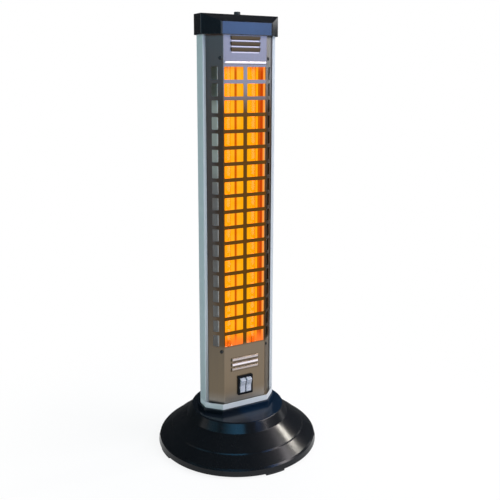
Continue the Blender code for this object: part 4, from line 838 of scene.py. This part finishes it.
def glowing_aluminium():
    """The lit inner face. It glows less at the ridge, in the corners and behind the wings."""
    finish = Finish("reflector_lit", {"Metallic": 1.0, "Roughness": 0.25, "Emission Strength": 1.0})
    across = finish.along("X").size()
    wing = finish.ease(across, *WING_GLOW)
    rear = 1 - finish.ease(0 - finish.along("Y"), *REAR_FADE)
    dim = finish.between(across, *RIDGE_GLOW) * 0.9
    dim = dim + finish.ease(across, *CORNER_GLOW) * (1 - wing) * 0.85 + wing * rear * 0.95
    yellow = finish.blend(finish.cloud(60.0, (1, 1, 0.3)), *YELLOW_GLOW)
    lit = finish.blend(dim, finish.blend(wing, yellow, WING_PAINTED_GLOW), FOLD_PAINTED_GLOW)
    ends = finish.between(finish.along("Z"), *GLOW_LEVELS)
    finish.paint(base=LIT_METAL, glow=finish.blend(ends, END_PAINTED_GLOW, lit))
    return finish


def plain_aluminium():
    """The outer face, painted glowing for the tubes' scattered light, weak behind the top rows."""
    finish = Finish("reflector_metal", {"Metallic": 1.0, "Emission Strength": 0.17})
    roll = finish.cloud(400.0, (1, 1, 0.02))
    rows = (finish.along("Z") - ROWS_BOTTOM) * (1 / ROW_PITCH)
    glow = finish.blend(finish.ease(rows, 10, 12), *OUTER_GLOW)
    top = (ROWS_TOP - ROWS_BOTTOM) / ROW_PITCH
    finish.paint(
        glow=finish.blend(finish.ease(rows, top - 2.5, top - 1.5), glow, OUTER_GLOW_TOP),
        base=finish.blend(roll, *ALUMINIUM),
        rough=0.38 + roll * 0.15,
        normal=finish.relief(roll, 0.000005),
    )
    return finish


def reflector_trough():
    left = [
        (-TROUGH_HALF + TROUGH_HEM, TROUGH_WING_Y),
        (-TROUGH_HALF, TROUGH_WING_Y),
        (-TROUGH_HALF, TROUGH_FLOOR_Y - TROUGH_CORNER),
        (-TROUGH_HALF + TROUGH_CORNER, TROUGH_FLOOR_Y),
        (-RIDGE, TROUGH_FLOOR_Y),
    ]
    corners = mirrored(left)
    corners.insert(len(left), (0, TROUGH_FLOOR_Y - RIDGE))
    section = folded_sheet(corners, TROUGH_BENDS, TROUGH_SHEET, steps=4)
    trough = shape("reflector_trough", prism(section, *levels("reflector")), aluminium)
    trough.data.materials.append(glowing_aluminium().material)
    lit_edges = len(section) // 2
    for face in trough.data.polygons[2:]:
        face.material_index = int(0 < face.index - 2 < lit_edges)
    fit(trough, "reflector")


aluminium = plain_aluminium()
reflector_trough()

# Tubes, coils and their ends. Each clear quartz tube holds a wound resistance wire, and sits in
# cream ceramic caps that pass through the end plates; a brass pin comes out of each cap.

TUBE_RADIUS = 0.0055
TUBE_WALL = 0.0012
TUBE_SIDES = 48
COIL_RADIUS = 0.0034
COIL_WIRE = 0.0005
COIL_TURNS = 110
COIL_STEPS = 16
COIL_LEAD = 0.024
COLD_END = 0.012
CAP_RADIUS = 0.0075
CAP_NECK_RADIUS = 0.0062
CAP_SOCKET = 0.008
CAP_SIDES = 40
CAP_HEAD = 0.014
CAP_BORE = 0.0018
CAP_EDGES = (0.0006, 0.0008)
CLEAR_QUARTZ = ((1.0, 0.86, 0.6), (1.0, 0.8, 0.5))
QUARTZ_GLOW = (1.0, 0.30, 0.0)
WIRE_TONES = ((0.2, 0.19, 0.18), (0.5, 0.12, 0.01))
WIRE_GLOW = ((0.1, 0.02, 0.0), (1.0, 0.37, 0.0))
CERAMIC = ((0.66, 0.60, 0.50), (0.78, 0.73, 0.64))
CERAMIC_GLOW = (1.0, 0.2, 0.02)
CERAMIC_GLOW_LEVELS = (LOW_PLATE, LOW_PLATE + 0.008, HIGH_PLATE - 0.008, HIGH_PLATE)
BRASS = ((0.56, 0.39, 0.16), (0.38, 0.27, 0.13))
UNLIT = (0.0, 0.0, 0.0)


def wound_length(finish):
    """1 where the coils are hot, and 0 at their cool leads."""
    low, high = levels("heating_coil_left")
    edges = (low + COLD_END, low + COIL_LEAD, high - COIL_LEAD, high - COLD_END)
    return finish.between(finish.along("Z"), *edges)


def quartz():
    """Clear over its cool ends, and flooded with the element's light between them."""
    constants = {"IOR": 1.46, "Transmission Weight": 1.0, "Roughness": 0.02}
    constants["Emission Strength"] = 0.12
    finish = mottled("quartz", constants, 40.0, CLEAR_QUARTZ)
    finish.paint(glow=finish.blend(wound_length(finish), UNLIT, QUARTZ_GLOW))
    return finish


def hot_wire():
    finish = Finish("element_wire", {"Metallic": 1.0, "Roughness": 0.5, "Emission Strength": 0.95})
    hot = wound_length(finish)
    finish.paint(base=finish.blend(hot, *WIRE_TONES), glow=finish.blend(hot, *WIRE_GLOW))
    return finish


def cream_ceramic():
    """Cream, and reddened by the elements' light between the two end plates."""
    constants = {"IOR": 1.5, "Emission Strength": 0.8}
    finish = mottled("ceramic", constants, 900.0, CERAMIC, (0.5, 0.2), (900.0, 0.00005))
    lit = finish.between(finish.along("Z"), *CERAMIC_GLOW_LEVELS)
    finish.paint(glow=finish.blend(lit, UNLIT, CERAMIC_GLOW))
    return finish


def clear_tube(side, finish):
    node = "quartz_tube_" + side
    low, high = levels(node)
    inner = TUBE_RADIUS - TUBE_WALL
    profile = [(inner, low), (TUBE_RADIUS, low), (TUBE_RADIUS, high), (inner, high)]
    body = turned(profile, TUBE_SIDES, over(node, 0), closed=True)
    fit(shape("clear_tube_" + side, body, finish), node)


def wound_coil(side, finish):
    low, high = levels("heating_coil_" + side)
    middle = middle_of("quartz_tube_" + side)
    start, end = low + COIL_LEAD, high - COIL_LEAD
    count = COIL_TURNS * COIL_STEPS
    points = [(0, 0, low), (0, 0, start - COIL_RADIUS)]
    for step in range(count + 1):
        angle = math.tau * step / COIL_STEPS
        rise = start + (end - start) * step / count
        points.append((COIL_RADIUS * math.cos(angle), COIL_RADIUS * math.sin(angle), rise))
    points += [(0, 0, end + COIL_RADIUS), (0, 0, high)]
    curve = bpy.data.curves.new("wound_coil_" + side, "CURVE")
    curve.dimensions = "3D"
    curve.bevel_depth = COIL_WIRE
    curve.bevel_resolution = 1
    curve.use_fill_caps = True
    spline = curve.splines.new("POLY")
    spline.points.add(len(points) - 1)
    for target, (x, y, z) in zip(spline.points, points):
        target.co = (middle.x + x, middle.y + y, z, 1)
    curve.materials.append(finish.material)
    coil = put("wound_coil_" + side, curve)
    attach(coil, "heater")
    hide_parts("heating_coil_" + side)


def ceramic_cap(node, finish):
    low, high = levels(node)
    height = high - low
    foot, brim = CAP_EDGES
    head, socket = height - CAP_HEAD, height - CAP_SOCKET
    profile = [(CAP_BORE, 0), (CAP_NECK_RADIUS - foot, 0), (CAP_NECK_RADIUS, foot)]
    profile += [(CAP_NECK_RADIUS, head), (CAP_RADIUS, head)]
    profile += [(CAP_RADIUS, height - brim), (CAP_RADIUS - brim, height)]
    profile += [(TUBE_RADIUS + GAP, height), (TUBE_RADIUS + GAP, socket), (CAP_BORE, socket)]
    place = over(node, high) @ UPSIDE_DOWN if node.endswith("top") else over(node, low)
    body = turned(profile, CAP_SIDES, place, closed=True)
    fit(shape("ceramic_" + node.removeprefix("end_cap_"), body, finish), node)


clear_quartz = quartz()
element_wire = hot_wire()
ceramic = cream_ceramic()
brass = mottled("brass", {"Metallic": 1.0}, 500.0, BRASS, (0.28, 0.2))
for side in ("left", "right"):
    clear_tube(side, clear_quartz)
    wound_coil(side, element_wire)
    for end in ("bottom", "top"):
        ceramic_cap(f"end_cap_{side}_{end}", ceramic)
        dress(brass, f"terminal_{side}_{end}")
dress(brass, "earth_stud")
dress(ceramic, "terminal_block")

# Cap. A glossy black moulding over the column's head, with a front roof that slopes up to a flat
# top. A fluted black nut on a stud holds it to a strap below.

CAP_MARGIN = 0.0037
CAP_BACK_Y = SHELL_BACK_Y + 0.0035
CAP_CORNER = 0.0045
CAP_EDGE = 0.0013
CAP_WALL = 0.002
CAP_BOTTOM, CAP_TOP = levels("top_cap")
CAP_FRONT_TOP = CAP_BOTTOM + 0.0186
CAP_ROOF_RUN = 0.0229
STUD_RADIUS = 0.0024
STUD_BOSS = 0.005
NUT_RADIUS = 0.005
NUT_FLUTES = 10
NUT_FLUTE_DEPTH = 0.0007
NUT_EDGE = 0.0004
CAP_BLACK = (0.005, 0.006, 0.008)
BLACK_STEEL = ((0.02, 0.02, 0.021), (0.06, 0.058, 0.055))
ZINC = ((0.50, 0.51, 0.52), (0.38, 0.39, 0.40))


def cap_body(inset, low):
    back = CAP_BACK_Y - inset
    plan = rounded(body_plan(CAP_MARGIN - inset, back), CAP_CORNER - inset)
    body = prism(plan, low, CAP_TOP - inset)
    slope = Vector((0, CAP_FRONT_TOP - CAP_TOP, CAP_ROOF_RUN)).normalized()
    edge = Vector((0, FRONT_Y - LIP_PROUD - CAP_MARGIN, CAP_FRONT_TOP))
    keep_side(body, edge - slope * inset, slope)
    return body


def cap_moulding():
    cap = shape("cap_moulding", cap_body(0, CAP_BOTTOM), cap_plastic)
    soften(cap, CAP_EDGE, 4)
    carve(cap, cap_body(CAP_WALL, CAP_BOTTOM - OVERRUN))
    place = over("cap_stud", 0)
    strap = levels("cap_strap")[1]
    carve(cap, turned(rod(STUD_BOSS, strap + GAP, CAP_TOP - CAP_WALL / 2), 32, place), "UNION")
    bore(cap, place, STUD_RADIUS + GAP, strap - OVERRUN, CAP_TOP + OVERRUN)
    fit(cap, "top_cap")


def fluted_nut():
    low, high = levels("cap_nut")
    outline = []
    for step in range(12 * NUT_FLUTES):
        angle = math.tau * step / (12 * NUT_FLUTES)
        radius = NUT_RADIUS - NUT_FLUTE_DEPTH * (0.5 - 0.5 * math.cos(NUT_FLUTES * angle))
        outline.append((radius * math.cos(angle), radius * math.sin(angle)))
    place = over("cap_nut", 0)
    nut = shape("fluted_nut", prism(outline, low, high, place), blackened)
    soften(nut, NUT_EDGE, 2, math.radians(60))
    bore(nut, place, STUD_RADIUS + GAP, low - OVERRUN, high + OVERRUN)
    fit(nut, "cap_nut")


cap_plastic = moulded_black("cap_plastic", CAP_BLACK, 0.10, 0.000003, 0.5)
blackened = mottled("black_steel", {"Metallic": 0.6}, 700.0, BLACK_STEEL, (0.36, 0.2))
zinc = mottled("zinc_steel", {"Metallic": 1.0}, 260.0, ZINC, (0.36, 0.2), (260.0, 0.00001))
cap_moulding()
fluted_nut()
dress(zinc, "cap_strap", "cap_stud", "tube_plate_bottom", "tube_plate_top", "rocker_pin")

# Switch. A black housing with a raised bezel snaps into the cover. Two pale rockers share one
# steel pin across its pocket; each has a shallow V face, with its lower half pressed in at rest.

BEZEL = (0.0276, 0.033)
BEZEL_PROUD = 0.0025
BEZEL_FRONT_Y = FRONT_Y - GAP - BEZEL_PROUD
HOUSING_WALL = 0.0013
HOUSING_DEPTH = 0.018
POCKET = (0.0212, 0.028)
POCKET_DEPTH = 0.0115
ROCKER_WIDTH = 0.0089
ROCKER_X = middle_of("rocker_right").x
ROCKER_END_RADIUS = 0.0128
ROCKER_PIVOT_DEPTH = 0.0035
ROCKER_MIDDLE_PROUD = 0.0008
ROCKER_END_PROUD = 0.003
ROCKER_SKIRT = 0.001
ROCKER_KEEL = (0.003, 0.0055)
ROCKER_TILT = math.radians(10)
PIVOT_Y = BEZEL_FRONT_Y + ROCKER_PIVOT_DEPTH
PIVOT_BORE = 0.0011
BLADE = (0.0063, 0.0008)
BLADE_END_Y = FRONT_Y + 0.026
BLADE_SPOTS = [(x, level) for x in (-0.0052, 0.0052) for level in (-0.008, 0.008)]
BEZEL_CORNER = 0.0012
BEZEL_EDGE = 0.0007
ROCKER_CREASE = 0.0012
ROCKER_EDGE = 0.00045
SWITCH_BLACK = (0.002, 0.003, 0.005)
ROCKER_TONES = ((0.38, 0.41, 0.47), (0.47, 0.50, 0.56))


def switch_body():
    place = on_front(SWITCH_LEVEL)
    front = GAP + BEZEL_PROUD
    outline = rounded(rectangle(*BEZEL), BEZEL_CORNER, 4)
    bezel = shape("switch_body", prism(outline, GAP, front, place), switch_plastic)
    soften(bezel, BEZEL_EDGE)
    outer = [size + 2 * HOUSING_WALL for size in POCKET]
    carve(bezel, prism(rectangle(*outer), -HOUSING_DEPTH, BEZEL_PROUD / 2, place), "UNION")
    blades = bmesh.new()
    root = FRONT_Y + HOUSING_DEPTH - HOUSING_WALL - BLADE_END_Y
    for x, rise in BLADE_SPOTS:
        end = facing((x, BLADE_END_Y, SWITCH_LEVEL + rise), (0, 1, 0))
        prism(rectangle(*BLADE), root, 0, end, blades)
    carve(bezel, blades, "UNION")
    carve(bezel, prism(rectangle(*POCKET), front - POCKET_DEPTH, front + OVERRUN, place))
    pivot = Matrix.Translation((0, PIVOT_Y, SWITCH_LEVEL)) @ Z_TO_X
    bore(bezel, pivot, PIVOT_BORE, -BEZEL[0] / 2, BEZEL[0] / 2)
    fit(bezel, "switch_housing")


def rocker_outline():
    """A rocker from the side: height, and depth behind its pivot."""
    end_depth = -(ROCKER_PIVOT_DEPTH + ROCKER_END_PROUD)
    start, stop = (math.asin(depth / ROCKER_END_RADIUS) for depth in (end_depth, ROCKER_SKIRT))
    angles = [start + (stop - start) * step / 8 for step in range(9)]
    upper = [(ROCKER_END_RADIUS * math.cos(a), ROCKER_END_RADIUS * math.sin(a)) for a in angles]
    middle = (0, -(ROCKER_PIVOT_DEPTH + ROCKER_MIDDLE_PROUD))
    points = [middle] + mirrored(upper + [ROCKER_KEEL])
    return rounded(points, [ROCKER_CREASE] + [0] * (len(points) - 1), 5)


def rocker_cap(side, x, finish):
    stand = Matrix(((0, 0, -1), (0, 1, 0), (1, 0, 0))).to_4x4()
    middle = Matrix.Translation((x, PIVOT_Y, SWITCH_LEVEL))
    place = middle @ Matrix.Rotation(ROCKER_TILT, 4, "X") @ stand
    body = prism(rocker_outline(), -ROCKER_WIDTH / 2, ROCKER_WIDTH / 2, place)
    cap = shape("rocker_cap_" + side, body, finish)
    soften(cap, ROCKER_EDGE)
    bore(cap, middle @ Z_TO_X, PIVOT_BORE, -ROCKER_WIDTH, ROCKER_WIDTH)
    fit(cap, "rocker_" + side, "rocker_" + side)


switch_plastic = moulded_black("switch_plastic", SWITCH_BLACK, 0.28, 0.000008, gloss=0.1)
rocker_plastic = mottled(
    "rocker_plastic", {"IOR": 1.5}, 120.0, ROCKER_TONES, (0.24, 0.1), (1500.0, 0.000006)
)
switch_body()
rocker_cap("left", -ROCKER_X, rocker_plastic)
rocker_cap("right", ROCKER_X, rocker_plastic)
dress(switch_plastic, "tilt_switch", "gland_nut")

# Screws and rivets. Pan heads with a cross recess, blackened on the facets, zinc-plated at the
# back and under the base. Two domed rivets join the shell, the cover and the strap.

COVER_SCREW = {"head": 0.0028, "rise": 0.0017, "radius": 0.0015, "length": 0.0064}
BACK_SCREW = {**COVER_SCREW, "length": 0.0063}
BASE_SCREW = {"head": 0.0038, "rise": 0.0024, "radius": BASE_SCREW_RADIUS, "length": 0.0213}
RECESS_SHARES = (1.1, 0.26)


def pan_head_screw(name, place, finish, head, rise, radius, length):
    """place is the frame on which the head seats."""
    profile = [(0, -length), (radius, -length), (radius, GAP), (head, GAP)]
    for step in range(6):
        angle = QUARTER * step / 6
        profile.append((head * math.cos(angle), GAP + rise * (0.45 + 0.55 * math.sin(angle))))
    profile.append((0, GAP + rise))
    screw = shape("pan_" + name, turned(profile, 28, place), finish)
    long, wide = (share * head for share in RECESS_SHARES)
    for size in ((long, wide), (wide, long)):
        carve(screw, prism(rectangle(*size), GAP + rise * 0.4, 2 * rise, place))
    fit(screw, name)


for side, x in (("left", -1), ("right", 1)):
    for end, level in zip(("bottom", "top"), COVER_SCREW_LEVELS):
        place = facet_place(x, COVER_SCREW_FROM_FOLD, level)
        pan_head_screw(f"cover_screw_{end}_{side}", place, blackened, **COVER_SCREW)
for node in named("base_screw"):
    place = over(node, PLINTH_TOP - BOSS_LENGTH) @ UPSIDE_DOWN
    pan_head_screw(node, place, zinc, **BASE_SCREW)
for kind in ("plate_screw", "tray_screw"):
    for node, place in zip(named(kind), back_places(kind)):
        pan_head_screw(node, place, zinc, **BACK_SCREW)
dress(zinc, "top_rivet_left", "top_rivet_right")

# Cable gland. A black moulded bush through the back panel, with a flange and a tapered snout.
# A moulded nut inside the shell holds it.

GLAND_SIDES = 48
GLAND_THREAD = [(0.0036, -0.0055), (0.0058, -0.0055), (0.0058, GAP)]
GLAND_FLANGE = [(0.0090, GAP), (0.0090, 0.0022), (0.0082, 0.0030), (0.0068, 0.0030)]
GLAND_SNOUT = [(0.0062, 0.0036), (0.0053, 0.0114), (0.0047, 0.0120), (0.0036, 0.0120)]


def gland_bush():
    profile = GLAND_THREAD + GLAND_FLANGE + GLAND_SNOUT
    body = turned(profile, GLAND_SIDES, back_places("gland_nut")[0], closed=True)
    fit(shape("gland_bush", body, switch_plastic), "cable_gland")


gland_bush()

# Inner wires. Copper strands in pale silicone sleeves, between the switch, the tubes and the block.
# They hardly show: through the windows' far corners and the vents.

SILICONE = ((0.52, 0.50, 0.46), (0.62, 0.60, 0.56))

dress(mottled("wire_cover", {"IOR": 1.45}, 2000.0, SILICONE, (0.55, 0.15)), *named("wire_"))

# Floor, lamps and camera. A pale floor that keeps the shadow, a large soft lamp at the front right
# and a small one beside it, two fills that nothing mirrors, a blue window and blue sky cards for
# the black plastic, and dark flags and a grey card for the gloss and the steel.

CAMERA_PLACE = (-0.491, -0.969, 0.6034)
CAMERA_AIM = (0.4604, 0.8673, -0.1894)
CAMERA_ROLL = math.radians(0.2)
LENS = 49.3
LENS_SHIFT = -0.0794
VIEW_TURN = math.radians(-28)
FLOOR_SIDE = 40
SHADOW_REACH = (0.16, 0.55)
SHADOW_SHARE = 0.13
FLOOR_PAINT = ((0.80, 0.80, 0.80), (0.82, 0.82, 0.82))
DARK_CLOTH = ((0.03, 0.03, 0.03), (0.04, 0.04, 0.04))
GREY_CARD = ((0.26, 0.22, 0.22), (0.28, 0.24, 0.24))
SKY_FADE = (-1.75, -0.95)
SKY_GLOW = ((0.02, 0.12, 0.2), (0.09, 0.5, 0.95))
ROOM_TINT = (0.80, 0.88, 1.0)


def seen_rays(tree):
    """1 for rays from the camera, and for those that metal or glass turns."""
    kinds = ("Camera", "Glossy", "Transmission")
    rays = [tree.add("ShaderNodeLightPath", {}, {}, f"Is {kind} Ray") for kind in kinds]
    return rays[0] + rays[1] + rays[2]


def floor():
    finish = mottled("floor", {"Roughness": 0.9, "IOR": 1.3}, 3.0, FLOOR_PAINT)
    level = finish.where((1, 1, 0))
    away = finish.add("ShaderNodeVectorMath", {"operation": "LENGTH"}, {0: level}, 1)
    shadow = SHADOW_SHARE * (1 - finish.ease(away, *SHADOW_REACH))
    white = finish.add("ShaderNodeEmission", {}, {"Strength": 1.0})
    own = Tone(finish, finish.shader.outputs[0])
    surfaces = {0: seen_rays(finish) * (1 - shadow), 1: own, 2: white}
    surface = finish.add("ShaderNodeMixShader", {}, surfaces)
    finish.feed(finish.nodes["Material Output"], {"Surface": surface})
    shape("floor", prism(rectangle(FLOOR_SIDE, FLOOR_SIDE), -0.02, 0), finish)


def lamp(name, place, aim, size, power, colour, glossy=True):
    data = bpy.data.lights.new(name, "AREA")
    data.shape = "RECTANGLE"
    data.size, data.size_y = size
    data.energy = power
    data.color = colour
    item = put(name, data)
    item.location = place
    item.rotation_euler = (Vector(aim) - Vector(place)).to_track_quat("-Z", "Y").to_euler()
    item.visible_glossy = glossy


def room_light():
    """White to the eye, in metal and through glass, and dimmer as light on the heater."""
    world = bpy.data.worlds.new("room")
    bpy.context.scene.world = world
    room = Tree(world)
    background = room.nodes["Background"]
    room.feed(background, {"Color": ROOM_TINT, "Strength": 0.5})
    dim = Tone(room, background.outputs[0])
    white = room.add("ShaderNodeBackground", {}, {"Color": (1, 1, 1)})
    mixed = room.add("ShaderNodeMixShader", {}, {0: seen_rays(room), 1: dim, 2: white})
    room.feed(room.nodes["World Output"], {"Surface": mixed})


def mirrored_board(name, place, size, finish):
    """A board outside the picture that only the heater's gloss shows."""
    board = shape(name, prism(rectangle(*size), -0.005, 0, place), finish)
    for kind in ("camera", "diffuse", "transmission", "shadow"):
        setattr(board, "visible_" + kind, False)


def camera():
    data = bpy.data.cameras.new("camera")
    data.lens = LENS
    data.shift_y = LENS_SHIFT
    item = put("camera", data)
    item.location = CAMERA_PLACE
    aim = Vector(CAMERA_AIM).to_track_quat("-Z", "Y").to_matrix().to_4x4()
    item.rotation_euler = (aim @ Matrix.Rotation(CAMERA_ROLL, 4, "Z")).to_euler()
    bpy.context.scene.camera = item


floor()
room_light()
dark = mottled("flag_cloth", {"Roughness": 0.9}, 4.0, DARK_CLOTH)
grey = mottled("grey_card", {"Roughness": 0.9}, 4.0, GREY_CARD)
sky = Finish("sky_card", {"Roughness": 0.9, "Emission Strength": 4.0})
sky.paint(base=(0.1, 0.1, 0.1), glow=sky.blend(sky.ease(sky.along("X"), *SKY_FADE), *SKY_GLOW))
lying = Matrix.Rotation(VIEW_TURN, 4, "Z")
beside = Matrix.Translation((-1.45, -0.65, 0.001)) @ lying.inverted()
mirrored_board("floor_flag", lying @ Matrix.Translation((0, 0.8, 0.001)), (3.0, 1.6), dark)
mirrored_board("ceiling_flag", Matrix.Translation((0, 0, 2.4)) @ UPSIDE_DOWN, (12, 12), dark)
mirrored_board("left_floor_card", beside, (1.8, 1.8), grey)
for name, finish, size, place, aim in (
    ("front_left_flag", dark, (1.9, 2.0), (-2.37, -1.05, 0.35), (1.0, 0.44, 0)),
    ("back_left_flag", dark, (1.8, 1.8), (-1.0, 1.3, 0.6), (0.6, -0.8, 0)),
    ("back_right_flag", dark, (1.3, 1.0), (1.6, 0.85, 0.32), (-0.88, -0.47, 0)),
    ("back_flag", dark, (3.0, 0.8), (0.8, 1.5, 0.35), (-0.47, -0.88, 0)),
    ("right_flag", dark, (1.8, 0.9), (2.0, -0.9, 0.7), (-0.91, 0.41, 0)),
    ("sky", sky, (2.0, 0.6), (-1.1, -1.49, 1.2), (0.55, 0.75, -0.45)),
    ("left_sky", sky, (1.0, 0.45), (-2.0, -0.2, 1.0), (0.87, 0.05, -0.4)),
):
    mirrored_board(name, facing(place, aim), size, finish)
lamp("key", (2.0, -1.35, 1.9), (0, 0, 0.35), (1.6, 1.6), 84.0, (1.0, 0.94, 0.97))
lamp("side", (1.92, -0.10, 1.52), (0, -0.05, 0.1), (0.18, 0.18), 11.0, (1.0, 0.95, 0.86))
lamp("fill", (-1.9, -0.3, 1.3), (0, 0, 0.3), (0.6, 1.2), 7.0, (0.4, 1.0, 0.8), glossy=False)
lamp("back", (0.5, 1.6, 1.5), (0, 0, 0.4), (1.2, 1.2), 10.0, (0.95, 0.97, 1.0), glossy=False)
lamp("window", (0.56, -1.1, 0.77), (0, -0.03, 0.68), (0.30, 0.16), 1.0, (0.12, 0.36, 1.0))
camera()
bpy.context.scene.view_settings.view_transform = "Standard"
